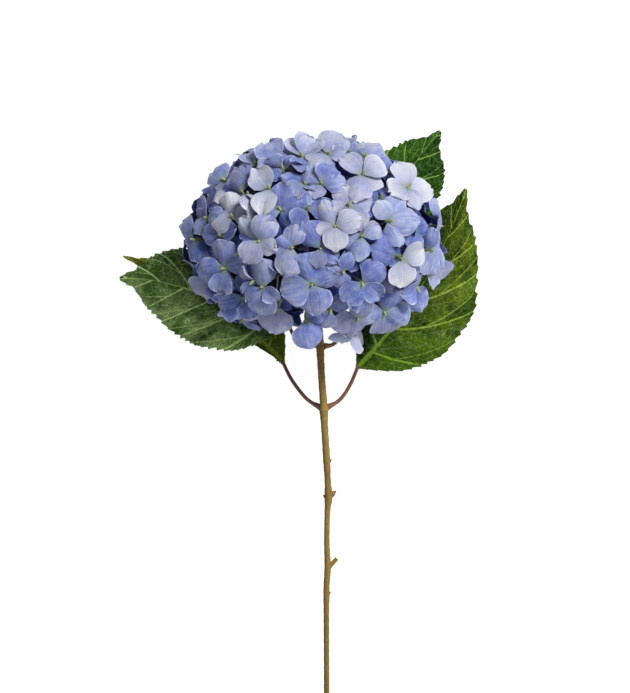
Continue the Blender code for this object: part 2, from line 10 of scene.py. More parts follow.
import bpy
import numpy as np
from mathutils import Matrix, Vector


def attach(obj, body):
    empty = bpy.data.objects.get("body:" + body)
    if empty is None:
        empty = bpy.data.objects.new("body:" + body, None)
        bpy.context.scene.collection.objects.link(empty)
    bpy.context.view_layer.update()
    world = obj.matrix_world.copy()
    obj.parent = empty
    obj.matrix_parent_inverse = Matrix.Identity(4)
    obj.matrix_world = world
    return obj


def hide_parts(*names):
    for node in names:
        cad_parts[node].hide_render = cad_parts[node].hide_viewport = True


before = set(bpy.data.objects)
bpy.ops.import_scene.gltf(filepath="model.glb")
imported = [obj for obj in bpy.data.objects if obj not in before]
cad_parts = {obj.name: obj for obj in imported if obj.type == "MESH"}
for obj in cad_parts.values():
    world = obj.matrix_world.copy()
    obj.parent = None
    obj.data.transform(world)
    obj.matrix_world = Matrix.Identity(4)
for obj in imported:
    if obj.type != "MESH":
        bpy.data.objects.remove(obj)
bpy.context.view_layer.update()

# ---- Flower head: the same plan as the part's ----
HEAD_RADII = np.array([0.0865, 0.0675, 0.0755])  # outermost florets: across, along, up
PRESSED_Z = 0.00045  # middle of a sepal that lies flat on the surface
HEAD_CENTRE = np.array([0.0, 0.0, HEAD_RADII[2] + PRESSED_Z])
FLORET_COUNT = 86
LISTED_DEPTH = 0.002  # a listed floret with no lift lies this far inside the outermost shell
RULED_DEPTH = 0.004  # the others lie this far inside it, and down to three layers more
LAYER_STEP = 0.0032  # florets that overlap sit this far above one another
LAYERS = 4
LAYER_REACH = 0.56  # florets nearer than this, on a shell of radius 1, overlap
RAY_COUNT = 10  # branches of the flower stalk
RAY_REACH = 0.46  # share of the shell's radius at which a branch ends
LEAN_SPREAD = 0.1  # how much a floret's facing strays, in radians
STALK_MOUTH_DEG = 37  # half angle of the bare cone round the stem
DENT_WAY = np.array([-0.91, 0.41, 0.0])  # where the head is pushed in
DENT_DEPTH, DENT_SPREAD = 0.010, 0.45
SEED = 11

# The florets that face up: (across, along, lift, paleness, sepals), in millimetres. Each sepal is
# (bearing, reach), seen from above and counted from +X, in degrees and millimetres. A third number
# rolls it on its own middle line, in degrees.
FRONT_FLORETS = (
    (31, 36, 2.0, 0.92, ((138, 18), (28, 16), (-28, 15), (254, 18))),
    (60, 30, 1.0, 0.92, ((111, 19), (5, 16), (-61, 15), (200, 13))),
    (23, 17, 0.5, 0.8, ((118, 14), (18, 15), (-62, 17), (190, 13))),
    (14, 4, 1.5, 0.8, ((-88, 16), (17, 18), (115, 17), (195, 12))),
    (55, -15, 2.0, 0.95, ((25, 16), (-88, 18))),
    (54, -14, -1.5, 0.35, ((165, 17), (-40, 16))),
    (-26, 27, 1.5, 0.95, ((127, 17), (256, 18))),
    (-32, -5, 1.0, 0.72, ((127, 19), (234, 16), (69, 17), (-31, 12))),
    (-49, 10, 0.5, 0.85, ((100, 17), (190, 14), (10, 12))),
    (-54, 35, 0.0, 0.72, ((138, 12), (200, 9), (250, 15))),
    (10, 51, 0.5, 0.68, ((114, 14), (66, 17), (229, 13), (-10, 12))),
    (-6, 49, 0.5, 0.55, ((156, 18), (105, 15), (55, 15), (265, 11))),
    (0, -31, 2.0, 0.42, ((194, 20), (112, 19), (21, 17), (-81, 19))),
    (31, -30, 1.5, 0.38, ((37, 17), (262, 18), (221, 17), (-40, 15))),
    (47, 8, 1.0, 0.55, ((55, 18), (2, 20), (-59, 18), (120, 14))),
    (-30, -33, 1.5, 0.45, ((270, 17), (97, 19), (229, 14), (-34, 13))),
    (-21, -45, 1.0, 0.6, ((258, 18), (150, 12))),
    (6, 31, 0.0, 0.42, ((123, 14), (10, 15), (243, 11), (63, 14))),
    (-19, 14, 0.0, 0.35, ((88, 18), (24, 14), (-50, 14), (190, 14))),
    (-12, -9, 0.0, 0.5, ((80, 14), (227, 12), (257, 19), (159, 11))),
    (5, -10, -0.5, 0.35, ((120, 20), (-36, 14), (30, 14), (-100, 12))),
    (31, -2, 0.0, 0.5, ((263, 16), (28, 13), (75, 12), (190, 13))),
    (-54, -21, 0.5, 0.38, ((192, 18), (102, 18), (262, 17), (15, 14))),
    (-58, -1, -1.0, 0.15, ((95, 16), (30, 12), (170, 12))),
    (46, -48, 0.0, 0.4, ((51, 16), (-27, 18), (-87, 14), (204, 14))),
    (12, -48, -0.5, 0.5, ((235, 13), (30, 12))),
    (29, -52, 1.0, 0.6, ((200, 18), (250, 12), (-15, 11), (70, 12))),
    (75, -9, 0.5, 0.5, ((83, 15, 65), (-36, 14), (248, 16), (-69, 15))),
    (67, -32, 0.5, 0.4, ((202, 12), (-77, 16), (100, 12))),
    (-43, -40, -1.0, 0.1, ((-75, 14, 50), (195, 17), (80, 12))),
    (-66, 11, 0.0, 0.25, ((108, 15, 45), (160, 8, 30), (228, 12), (0, 12))),
    (-75, -2, 0.0, 0.3, ((134, 14, 30), (-75, 15, 20), (200, 7))),
    (34, 51, -1.0, 0.5, ((95, 12), (45, 15), (170, 12))),
    (44, 44, -3.0, 0.4, ((60, 12), (0, 12))),
    (-37, 47, -1.5, 0.45, ((120, 9), (70, 11), (180, 9))),
    (-67, -29, -1.0, 0.08, ((215, 13), (150, 12), (-60, 14), (80, 12))),
    (66, 5, -3.0, 0.35, ((-95, 14), (20, 10), (100, 12))),
    (-44, 27, -1.0, 0.08, ((95, 18), (135, 14, 50), (165, 12, 60), (-100, 12))),
    (-40, 25, 0.5, 0.8, ((-82, 15, 60), (-50, 10, 60))),
    (-18, 41, -0.5, 0.4, ((150, 13, 55), (20, 14, 40), (200, 12))),
    (-36, -29, 0.5, 0.55, ((126, 12, 40), (225, 10, 40))),
    (-3, 15, -0.5, 0.3, ((4, 17), (120, 13), (-130, 13))),
    (20, -24, -0.5, 0.35, ((75, 12), (170, 10), (-100, 11))),
    (-4, 31, -0.5, 0.42, ((157, 16), (215, 14), (-80, 13), (70, 10))),
    (23, 56, -1.0, 0.6, ((31, 13), (72, 9, 60), (200, 12, 40))),
    (78, -18, -2.0, 0.6, ((-50, 13), (-88, 12))),
    (22, -61, -1.0, 0.6, ((-50, 15, 72), (-112, 9))),
    (-4, -52, 0.5, 0.35, ((-76, 20, 40), (20, 12))),
    (-24, 47, -2.0, 0.5, ((110, 16), (70, 15), (200, 12))),
    (-31, 49, -4.0, 0.6, ((130, 13), (60, 10))),
    (-47, -14, -3.0, 0.12, ((45, 12), (-80, 13))),
    (44, 24, -3.0, 0.35, ((20, 13), (170, 12))),
)
FLARE = 0.85  # how closely a listed sepal follows the head's slope
LONGEST_SEPAL = 0.021
PALE_FROM = 0.6  # a floret at least this pale is among the white ones

# Small florets that fill the head below the outer ones
INNER_COUNT = 150
INNER_DEPTH = (0.007, 0.014)

# ---- One sepal, in metres and radians ----
SEPAL_LENGTH = 0.0185
SEPAL_HALF_WIDTH = (0.40, 0.54)  # shares of its length
SEPAL_THICK = 0.00045
# Points of a sepal's grid, out and across: a listed one, one placed by rule, and a small inner one
LISTED_GRID, RULED_GRID, INNER_GRID = (11, 12), (6, 7), (5, 5)
HEAD_TOP, TOP_SOFTNESS = 0.1520, 0.003  # nothing in the head rises past the top
SHADE_DEPTH = 0.14  # painted shade darkens the sepals down to this depth in the head, as a share of its radii

# ---- Stem: centre line in millimetres, from the flower stalk to the cut end: (x, y, z, radius) ----
STEM_LINE = (
    (4.2, -48, 69.3, 2.1),
    (5.1, -60, 66.4, 2.2),
    (5.4, -69, 64.3, 2.7),
    (5.8, -78, 62.1, 2.4),
    (6.6, -92, 58.8, 2.35),
    (7.6, -105, 55.7, 2.5),
    (7.9, -111, 54.2, 3.1),
    (8.2, -118, 52.6, 2.5),
    (9.0, -132, 49.2, 2.35),
    (9.9, -146, 45.9, 2.45),
    (10.5, -158, 43.0, 2.15),
    (11.1, -170, 40.1, 2.7),
    (10.4, -180, 37.8, 2.0),
    (10.0, -200, 33.0, 1.9),
    (10.6, -218, 28.7, 2.2),
    (9.9, -232, 25.3, 2.1),
    (9.9, -239, 23.7, 2.2),
    (9.8, -250, 21.0, 1.95),
    (10.0, -290, 11.5, 1.9),
    (10.2, -336, 0.5, 1.9),
)
CUT_SLANT_DEG = 35
CUT_Y = -0.330
CANE_SIDES = 32
# Side buds, in millimetres and degrees: (distance along -Y, direction round the stem, length, radius,
# angle to the stem)
BUDS = (
    (147, 0, 4.2, 1.6, 50),
    (170, 0, 6.6, 2.3, 52),
    (171, 180, 4.3, 1.8, 60),
    (238, 0, 3.4, 1.6, 60),
    (112, 90, 4.6, 1.6, 42),
    (70, 90, 4.6, 1.5, 42),
)
STUB = (220, 0, 9.5, 1.9, 42)  # a side shoot that was cut off, in the same words

# ---- Leaves, in millimetres. Left and right are seen from the base, looking to the tip ----
LEAVES = {
    "leaf_upper_left": {
        "stalk": ((4.2, -68, 63.6), (-5.0, -68.0, 56.0), (-12.0, -62, 38.0), (-16.0, -54, 21.0)),
        "midrib": ((-16.0, -54, 21.0), (-46, -50, 6), (-86, -20, 20), (-134, -22, 7)),
        "half": (36, 34.5),
        "taper": (1.08, 1.05),
        "drawn": (0.2, 0.2),
        "rise": (-12, -9),
        "wave": (1.3, 2.5, 0.4),
    },
    "leaf_lower_left": {
        "stalk": ((6.7, -110, 53.5), (-3.5, -104, 45.0), (-13.5, -92, 29.0), (-20.0, -80, 15.0)),
        "midrib": ((-20.0, -80, 15.0), (-45, -52, -6), (-88, -24, 3), (-132, -6, 4)),
        "half": (9, 34),
        "taper": (1.0, 0.95),
        "drawn": (0.2, 0.72),
        "rise": (-1, -1),
        "wave": (0.6, 2.0, 2.0),
    },
    "leaf_lower_right": {
        "stalk": ((9.0, -110, 53.5), (18.5, -104.5, 48.0), (25.5, -95, 38.0), (31.0, -83, 28.0)),
        "midrib": ((31.0, -83, 28.0), (58, -56, 4), (88, -18, 10), (106, 40, 17)),
        "half": (32, 43),
        "taper": (0.95, 0.97),
        "drawn": (0.0, 0.5),
        "rise": (-4, -8),
        "wave": (1.4, 2.5, 1.2),
    },
    "leaf_upper_right": {
        "stalk": ((6.8, -69, 62.0), (16.0, -66, 38.0), (27.0, -48, 16.0), (38.0, -18, 4.0)),
        "midrib": ((38.0, -18, 4.0), (44, 14, 1), (62, 50, 2), (88.5, 80, 12)),
        "half": (31, 30),
        "taper": (1.0, 1.2),
        "drawn": (0.38, 0.0),
        "rise": (0, -1),
        "wave": (0.8, 2.0, 0.0),
    },
}
BLADE_ROWS, BLADE_COLUMNS = 241, 73
BLADE_END = 0.993  # the blade is closed here, just short of its tip, as a share of its length
BLADE_THICK = 0.0006
RIB_THICK = 0.0021  # the blade with the midrib that stands out under it
TIP_NECK = (0.85, 0.93)  # where the margins draw in to the tip, as shares of the blade
TEETH = 26  # on each margin
TOOTH_DEPTH = 0.0021  # and no more than a share of the half width
TOOTH_MOST = 0.22
VEIN_PAIRS = 6
VEIN_SWEEP = 0.62  # how far the side veins run forward, as a share of the blade
QUILT_HEIGHT = 0.0013  # how far the blade swells between two side veins
STALK_RADIUS = 0.00125
HEAD_SHADOW_REACH = 1.32  # a painted shadow of the head darkens a blade from this far out, as a share of its radii

# ---- Colours, linear ----
SEPAL_STOPS = (
    (0.0, (0.062, 0.098, 0.300)),
    (0.35, (0.190, 0.238, 0.480)),
    (0.6, (0.330, 0.366, 0.530)),
    (0.8, (0.425, 0.443, 0.530)),
    (1.0, (0.500, 0.515, 0.565)),
)
SEPAL_GREY = (0.300, 0.310, 0.370)
SEPAL_VIOLET = (0.170, 0.165, 0.400)

# Each leaf's colours, its painted light among them; how strong its net is; which half is lit, left (1)
# or right (-1), the other getting painted shade; and how strong the painted shadow near the head and
# the painted shade near its foot are
LEAF_LOOKS = {
    "leaf_upper_left": {
        "deep": (0.008, 0.056, 0.001),
        "fresh": (0.075, 0.225, 0.010),
        "painted_light": (0.430, 0.640, 0.220),
        "vein": (0.700, 0.960, 0.350),
        "net": 0.85,
        "lit_half": 1,
        "head_shadow": 0.9,
        "foot": 0.2,
    },
    "leaf_lower_left": {
        "deep": (0.080, 0.110, 0.004),
        "fresh": (0.180, 0.220, 0.010),
        "painted_light": (0.330, 0.370, 0.020),
        "vein": (0.400, 0.450, 0.050),
        "net": 0.4,
        "lit_half": -1,
        "head_shadow": 0.1,
        "foot": 0.6,
    },
    "leaf_lower_right": {
        "deep": (0.008, 0.032, 0.000),
        "fresh": (0.060, 0.122, 0.000),
        "painted_light": (0.140, 0.225, 0.003),
        "vein": (0.320, 0.450, 0.060),
        "net": 0.6,
        "lit_half": -1,
        "head_shadow": 0.85,
        "foot": 0.9,
    },
    "leaf_upper_right": {
        "deep": (0.006, 0.045, 0.002),
        "fresh": (0.042, 0.135, 0.010),
        "painted_light": (0.075, 0.210, 0.020),
        "vein": (0.250, 0.430, 0.090),
        "net": 0.4,
        "lit_half": 1,
        "head_shadow": 0.5,
        "foot": 0.0,
    },
}
AWAY_SHADE = (0.36, 0.50, 0.32)  # painted shade on the half that is not lit
UNDERSIDE = (0.150, 0.240, 0.090)
NET_SIZES = ((19.0, 0.050), (42.0, 0.09))  # meshes to a tenth of a metre, and half a line's width


# ---- Meshes ----


def millimetres(points):
    return np.array(points, float) / 1000


def unit(vectors):
    return vectors / np.linalg.norm(vectors, axis=-1, keepdims=True)


def smooth_line(points, count):
    """Points at even steps of the Catmull-Rom curve that passes through the given ones."""
    points = np.array(points, float)
    padded = np.vstack([2 * points[0] - points[1], points, 2 * points[-1] - points[-2]])
    at = np.linspace(0, len(points) - 1, count)
    first = np.minimum(at.astype(int), len(points) - 2)
    t = (at - first)[:, None]
    p0, p1, p2, p3 = (padded[first + k] for k in range(4))
    bend = 2 * p0 - 5 * p1 + 4 * p2 - p3
    return 0.5 * (2 * p1 + (p2 - p0) * t + bend * t**2 + (3 * p1 - p0 - 3 * p2 + p3) * t**3)


def bezier(controls, share):
    """Points of a cubic Bezier curve at the given shares of it, and its unit tangents there."""
    a, b, c, d = np.array(controls, float)
    t = np.asarray(share, float)[..., None]
    point = (1 - t) ** 3 * a + 3 * (1 - t) ** 2 * t * b + 3 * (1 - t) * t**2 * c + t**3 * d
    slope = (1 - t) ** 2 * (b - a) + 2 * (1 - t) * t * (c - b) + t**2 * (d - c)
    return point, unit(slope)


def cell_corners(count, rows, columns, wrap):
    """Corner numbers of every cell of count grids of rows by columns, wrapped round in columns or
    not, in the order that turns anticlockwise where rows cross columns faces the viewer."""
    numbers = np.arange(count * rows * columns).reshape(count, rows, columns)
    if wrap:
        numbers = np.concatenate([numbers, numbers[:, :, :1]], axis=2)
    corners = [numbers[:, :-1, :-1], numbers[:, 1:, :-1], numbers[:, 1:, 1:], numbers[:, :-1, 1:]]
    return np.stack([corner.ravel() for corner in corners], axis=1)


def grid_normals(points):
    """Unit normals of grids: the slope down the rows crossed with the slope along the columns."""
    down = np.gradient(points, axis=1)
    along = np.gradient(points, axis=2)
    return unit(np.cross(down, along) + 1e-12)


def sheet(points, thickness, normals):
    """Closed sheets. points holds grids, (count, rows, columns, 3). Each grid is moved half its
    thickness to either side along the normals, and the two are joined along the border."""
    count, rows, columns, _ = points.shape
    shift = normals * np.broadcast_to(thickness, points.shape[:3])[..., None] / 2
    vertices = np.concatenate([(points + shift).reshape(-1, 3), (points - shift).reshape(-1, 3)])
    top = cell_corners(count, rows, columns, False)
    lower = count * rows * columns
    numbers = np.arange(lower).reshape(count, rows, columns)
    border = np.concatenate(
        [numbers[:, :-1, 0], numbers[:, -1, :-1], numbers[:, :0:-1, -1], numbers[:, 0, :0:-1]], axis=1
    )
    ahead = np.roll(border, -1, axis=1)
    rim = np.stack([ahead, border, border + lower, ahead + lower], axis=-1).reshape(-1, 4)
    return vertices, np.concatenate([top, top[:, ::-1] + lower, rim]), np.empty((0, 3), int)


def rounds(rings, start_poles, end_poles):
    """Closed round bodies. rings holds (count, rows, ring, 3); each body's first and last ring is
    closed by triangles to its pole."""
    count, rows, ring, _ = rings.shape
    body = rings.reshape(-1, 3)
    vertices = np.concatenate([body, start_poles, end_poles])
    quads = cell_corners(count, rows, ring, True)
    numbers = np.arange(len(body)).reshape(count, rows, ring)
    first, last = numbers[:, 0], numbers[:, -1]
    start = np.repeat(len(body) + np.arange(count), ring)
    end = start + count
    fan_start = np.stack([start, first.ravel(), np.roll(first, -1, axis=1).ravel()], axis=1)
    fan_end = np.stack([end, np.roll(last, -1, axis=1).ravel(), last.ravel()], axis=1)
    return vertices, quads, np.concatenate([fan_start, fan_end])


def rods(paths, radii, ring=12, flute=0.0, flutes=4, reference=(0.0, 0.0, 1.0)):
    """Round bodies along paths, (count, stations, 3): each station's ring has its radius, swelled
    by flute times the cosine of flutes times the angle, square to the path."""
    way = unit(np.gradient(paths, axis=1))
    side = unit(np.cross(way, np.array(reference)))
    over = np.cross(side, way)
    angle = np.arange(ring) * 2 * math.pi / ring
    swell = 1 + flute * np.cos(flutes * angle)
    radius = np.broadcast_to(radii, paths.shape[:2])[..., None] * swell
    turned = (
        np.cos(angle)[:, None] * side[:, :, None] + np.sin(angle)[:, None] * over[:, :, None]
    )
    rings = paths[:, :, None] + radius[..., None] * turned
    return rounds(rings, paths[:, 0], paths[:, -1])


def joined(bodies):
    """Several (vertices, quads, triangles) as one."""
    vertices, quads, triangles = [], [], []
    start = 0
    for points, fours, threes in bodies:
        vertices.append(points)
        quads.append(fours + start)
        triangles.append(threes + start)
        start += len(points)
    return np.concatenate(vertices), np.concatenate(quads), np.concatenate(triangles)


def make_piece(name, body, material, replaced, uv=None, values=None, sharp_deg=50):
    """One object from (vertices, quads, triangles), with its map, values and material."""
    vertices, quads, triangles = body
    mesh = bpy.data.meshes.new(name)
    mesh.from_pydata(vertices, [], quads.tolist() + triangles.tolist())
    mesh.polygons.foreach_set("use_smooth", np.ones(len(mesh.polygons), bool))
    if uv is not None:
        corner = np.empty(len(mesh.loops), np.int32)
        mesh.loops.foreach_get("vertex_index", corner)
        layer = mesh.uv_layers.new(name="surface")
        layer.uv.foreach_set("vector", uv[corner].astype(np.float32).ravel())
    for key, value in (values or {}).items():
        attribute = mesh.attributes.new(key, "FLOAT", "POINT")
        attribute.data.foreach_set("value", value.astype(np.float32))
    mesh.update()
    mesh.set_sharp_from_angle(angle=math.radians(sharp_deg))
    mesh.materials.append(material)
    piece = bpy.data.objects.new(name, mesh)
    bpy.context.scene.collection.objects.link(piece)
    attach(piece, "root")
    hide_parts(*replaced)
    return piece


# ---- Where the florets are ----


def even_directions(count):
    """Unit vectors spread evenly over a sphere, on a golden-angle spiral."""
    k = np.arange(count) + 0.5
    turn = k * math.pi * (3 - math.sqrt(5))
    height = 1 - 2 * k / count
    ring = np.sqrt(1 - height**2)
    return np.stack([ring * np.cos(turn), height, ring * np.sin(turn)], axis=1)


def listed_directions():
    """Unit directions of the listed florets. One that is listed past the shell's edge lies on its
    widest line."""
    across_along = millimetres([row[:2] for row in FRONT_FLORETS]) / HEAD_RADII[:2]
    reach = np.linalg.norm(across_along, axis=1, keepdims=True)
    across_along /= np.maximum(reach, 1)
    up = np.sqrt(np.maximum(0, 1 - (across_along**2).sum(axis=1)))
    return np.column_stack([across_along, up])


def floret_directions():
    """Unit directions of all florets: the listed ones, the one underneath, and the rest spread
    over what is free by letting them push each other apart. The mouth round the stem stays bare."""
    fixed = np.vstack([listed_directions(), [0, 0, -1]])
    mouth = math.cos(math.radians(STALK_MOUTH_DEG))
    spare = even_directions(3 * FLORET_COUNT)
    spare = spare[-spare[:, 1] < mouth]
    chosen = fixed
    while len(chosen) < FLORET_COUNT:
        nearest = (spare @ chosen.T).max(axis=1)
        chosen = np.vstack([chosen, spare[nearest.argmin()]])
    free = chosen[len(fixed) :]
    for _ in range(60):
        everyone = np.vstack([fixed, free])
        away = free[:, None] - everyone[None]
        distance = np.linalg.norm(away, axis=2, keepdims=True) + 1e-9
        push = (away / distance * np.exp(-((distance / 0.28) ** 2))).sum(axis=1)
        free = free + 0.05 * push
        free[:, 1] = np.maximum(free[:, 1], -mouth * np.linalg.norm(free, axis=1))
        free /= np.linalg.norm(free, axis=1, keepdims=True)
    return np.vstack([fixed, free])


def floret_layers(directions):
    """A layer for each floret, so that its sepals pass over or under the ones beside it: each
    takes the layer whose nearest floret is farthest away."""
    layers = np.full(len(directions), -1)
    for k, way in enumerate(directions):
        near = np.linalg.norm(directions - way, axis=1)
        room = [near[layers == layer].min(initial=LAYER_REACH) for layer in range(LAYERS)]
        layers[k] = int(np.argmax(room))
    return layers


def square_to(vectors, axes):
    """The unit part of vectors that is square to unit axes."""
    return unit(vectors - (vectors * axes).sum(axis=-1, keepdims=True) * axes)


def floret_axes(facing):
    """Two unit vectors square to each facing direction: the first as near +X as it can be."""
    steep = np.abs(facing[:, :1]) > 0.95
    first = square_to(np.where(steep, [0.0, 0.0, 1.0], [1.0, 0.0, 0.0]), facing)
    return first, np.cross(facing, first)


def floret_plan():
    """Every floret's centre, facing and paleness, as arrays with a row for each."""
    rng = np.random.default_rng(SEED)
    directions = floret_directions()
    listed = len(FRONT_FLORETS)
    depth = RULED_DEPTH + LAYER_STEP * floret_layers(directions)
    lift = millimetres([row[2] for row in FRONT_FLORETS])
    depth[:listed] = LISTED_DEPTH - lift
    depth[listed] = 0
    off_dent = np.arccos(np.clip(directions @ DENT_WAY, -1, 1))
    dent = DENT_DEPTH * np.exp(-((off_dent / DENT_SPREAD) ** 2))
    dent[: listed + 1] = 0
    lean = rng.normal(0, LEAN_SPREAD, directions.shape)
    lean[: listed + 1] = 0
    facing = unit(directions / HEAD_RADII)
    centre = HEAD_CENTRE + directions * HEAD_RADII - (depth + dent)[:, None] * facing
    pale = np.clip(rng.normal(0.33, 0.14, len(directions)), 0.05, 0.58)
    pale[:listed] = [row[3] for row in FRONT_FLORETS]
    return {"centre": centre, "facing": unit(facing + lean), "pale": pale}


def listed_sepals(plan):
    """Sepals of the listed florets. Seen from above, one leaves its floret's centre at its bearing
    and ends at its reach; it falls or climbs with the head's slope there, times FLARE."""
    rows = []
    for k, row in enumerate(FRONT_FLORETS):
        for bearing, reach, *roll in row[4]:
            rows.append((k, math.radians(bearing), reach / 1000, math.radians(sum(roll))))
    owner, bearing, reach, roll = np.array(rows).T
    owner = owner.astype(int)
    facing = plan["facing"][owner]
    way = np.stack([np.cos(bearing), np.sin(bearing)], axis=1)
    slope = -(facing[:, :2] * way).sum(axis=1) / np.maximum(facing[:, 2], 0.05)
    most = np.sqrt(np.maximum(LONGEST_SEPAL**2 - reach**2, 0))
    climb = np.clip(FLARE * slope * reach, -most, most)
    spine = np.column_stack([way * reach[:, None], climb])
    length = np.linalg.norm(spine, axis=1)
    axis = spine / length[:, None]
    flat = square_to(facing + [0, 0, 0.5], axis)
    side = np.cross(flat, axis)
    normal = flat * np.cos(roll)[:, None] + side * np.sin(roll)[:, None]
    return {"owner": owner, "axis": axis, "normal": normal, "length": length}


def ruled_sepals(plan, owners, length, rng):
    """Four sepals a quarter turn apart for each of the given florets, in its own plane."""
    count = len(owners)
    spin = rng.uniform(0, math.pi / 2, (count, 1)) + np.radians([0, 90, 180, 270])
    spin = (spin + rng.uniform(-0.12, 0.12, (count, 4)))[..., None]
    first, second = (axis[:, None] for axis in floret_axes(plan["facing"][owners]))
    facing = plan["facing"][owners][:, None]
    rise = rng.uniform(-0.30, 0.12, (count, 4, 1)) * (owners != len(FRONT_FLORETS))[:, None, None]
    axis = unit(np.cos(spin) * first + np.sin(spin) * second + rise * facing)
    normal = square_to(np.broadcast_to(facing, axis.shape), axis)
    size = rng.uniform(0.88, 1.1, (count, 1)) * rng.uniform(0.92, 1.06, (count, 4))
    return {
        "owner": np.repeat(owners, 4),
        "axis": axis.reshape(-1, 3),
        "normal": normal.reshape(-1, 3),
        "length": (length * size).ravel(),
    }


def inner_plan():
    """Small florets of the deepest blue, spread evenly below the outer ones."""
    rng = np.random.default_rng(SEED + 5)
    directions = even_directions(INNER_COUNT)
    directions = directions[-directions[:, 1] < math.cos(math.radians(STALK_MOUTH_DEG + 8))]
    depth = rng.uniform(*INNER_DEPTH, (len(directions), 1))
    facing = unit(directions / HEAD_RADII)
    return {
        "centre": HEAD_CENTRE + directions * HEAD_RADII - depth * facing,
        "facing": unit(facing + rng.normal(0, 0.25, facing.shape)),
        "pale": rng.uniform(0.0, 0.22, len(directions)),
    }


def below_top(points):
    """The points, with those near the head's top drawn down so that none rises past it."""
    points = points.copy()
    over = np.maximum(points[..., 2] - (HEAD_TOP - TOP_SOFTNESS), 0)
    points[..., 2] -= over - TOP_SOFTNESS * (1 - np.exp(-over / TOP_SOFTNESS))
    return points


# ---- Sepals ----


def sepal_grids(centre, sepals, pressed, grid, rng):
    """Points of sepals, (sepals, rows, columns, 3), with u from the claw to the tip and v across.
    Flat, a sepal is an oval: its half width is a power of the cosine of an angle that runs with u
    from -68 to 72 degrees, drawn in at the claw, and its rows bow outwards towards the tip. Its
    height is an arch along u, plus a cup that grows with the square of the distance from the
    middle line, a fold that falls with that distance, slow waves over the whole of it, and a
    ripple along the edge."""
    count = len(centre)
    u = np.linspace(0, 1, grid[0])[:, None]
    v = np.linspace(-1, 1, grid[1])[None, :]

    def draw(low, high):
        return rng.uniform(low, high, count)[:, None, None]

    length = sepals["length"][:, None, None]
    angle = np.radians(-68 + 140 * u)
    reach = ((np.sin(angle) + 0.93) / 1.88) ** draw(0.72, 1.0)
    width = np.cos(angle) ** draw(0.55, 0.95) * np.clip((reach + 0.12) / 0.36, 0, 1)
    width = width * (1 + draw(0.0, 0.06) * np.sin(draw(3, 8) * u + draw(0, 6.3) + draw(-2, 2) * v))
    side = length * draw(*SEPAL_HALF_WIDTH) * width * v
    bow = draw(0.08, 0.20) * np.abs(v) ** draw(1.6, 2.6) * u**1.5
    notch = draw(-0.05, 0.04) * np.exp(-((v / 0.35) ** 2)) * u**4
    out = length * (0.05 + 0.95 * reach * (1 - bow + notch))
    arch, cup, fold = draw(-0.3, 0.9), draw(-0.85, 0.45), 0.55 * draw(-1, 1) ** 3
    twist = draw(-0.35, 0.35)
    height = arch * out * (1 - out / length) + cup * side**2 / (0.5 * length)
    height = height - fold * np.abs(side) * u + twist * side * u
    wave = np.sin(draw(2.0, 4.2) * v + draw(0, 6.3)) * np.sin(draw(2.5, 5.0) * u + draw(0, 6.3))
    ripple = np.sin(draw(0.35, 0.70) * grid[1] * v + draw(0, 6.3)) * u**3
    height = height + draw(0.0003, 0.0011) * wave * u + draw(0.0002, 0.0013) * ripple
    layer = 0.0003 * np.where(np.arange(count) % 2, 1, -1)[:, None, None]
    height = np.where(pressed[:, None, None], 0, height) + layer
    axis, normal = sepals["axis"][:, None, None], sepals["normal"][:, None, None]
    points = centre[:, None, None] + out[..., None] * axis
    points = points + side[..., None] * np.cross(normal, axis) + height[..., None] * normal
    points[..., 2] = np.maximum(points[..., 2], PRESSED_Z)
    return below_top(points)


def sepal_body(florets, sepals, pressed, grid, rng):
    """Sepals with one size of grid, as (body, map, values): the map runs across and out, tone is
    the floret's paleness, chance is a number for each sepal, and deep grows from 0 at the head's
    surface to 1 well inside it and sets the painted shade deep in the head."""
    count = len(sepals["owner"])
    grids = sepal_grids(florets["centre"][sepals["owner"]], sepals, pressed, grid, rng)
    u = np.linspace(0, 1, grid[0])[:, None]
    v = np.linspace(-1, 1, grid[1])[None, :]
    thick = SEPAL_THICK * (1.15 - 0.35 * u - 0.35 * v**4)
    flat = np.stack(np.broadcast_arrays(v, u), axis=-1).reshape(1, -1, 2)
    uv = np.tile(np.broadcast_to(flat, (count, flat.shape[1], 2)).reshape(-1, 2), (2, 1))
    body = sheet(grids, thick, grid_normals(grids))
    tone = florets["pale"][sepals["owner"]] + rng.normal(0, 0.09, count)
    radius = np.linalg.norm((body[0] - HEAD_CENTRE) / HEAD_RADII, axis=1)
    values = {
        "tone": np.tile(np.repeat(tone, flat.shape[1]), 2),
        "chance": np.tile(np.repeat(rng.uniform(0, 1, count), flat.shape[1]), 2),
        # painted shade deep in the head, with a denser blue: 0 at its surface, 1 well inside it
        "deep": np.clip((1 - radius) / SHADE_DEPTH, 0, 1),
    }
    return body, uv, values


def build_sepals(plan, inner, materials):
    """All sepals, as three pieces: the blue florets, the pale ones and the small inner ones."""
    rng = np.random.default_rng(SEED + 1)
    listed = len(FRONT_FLORETS)
    by_list = listed_sepals(plan)
    by_rule = ruled_sepals(plan, np.arange(listed, FLORET_COUNT), SEPAL_LENGTH, rng)
    within = ruled_sepals(inner, np.arange(len(inner["centre"])), SEPAL_LENGTH * 0.85, rng)
    is_pale = plan["pale"][by_list["owner"]] >= PALE_FROM
    blue_list = {key: value[~is_pale] for key, value in by_list.items()}
    pale_list = {key: value[is_pale] for key, value in by_list.items()}
    pieces = (
        ("blue_florets", ((plan, blue_list, LISTED_GRID), (plan, by_rule, RULED_GRID))),
        ("pale_florets", ((plan, pale_list, LISTED_GRID),)),
        ("inner_florets", ((inner, within, INNER_GRID),)),
    )
    for name, sets in pieces:
        made = []
        for florets, sepals, grid in sets:
            pressed = (florets is plan) & (sepals["owner"] == listed)
            made.append(sepal_body(florets, sepals, pressed, grid, rng))
        body = joined([part[0] for part in made])
        uv = np.concatenate([part[1] for part in made])
        values = {key: np.concatenate([part[2][key] for part in made]) for key in made[0][2]}
        make_piece(name, body, materials["sepal"], ["flower_head"], uv, values)


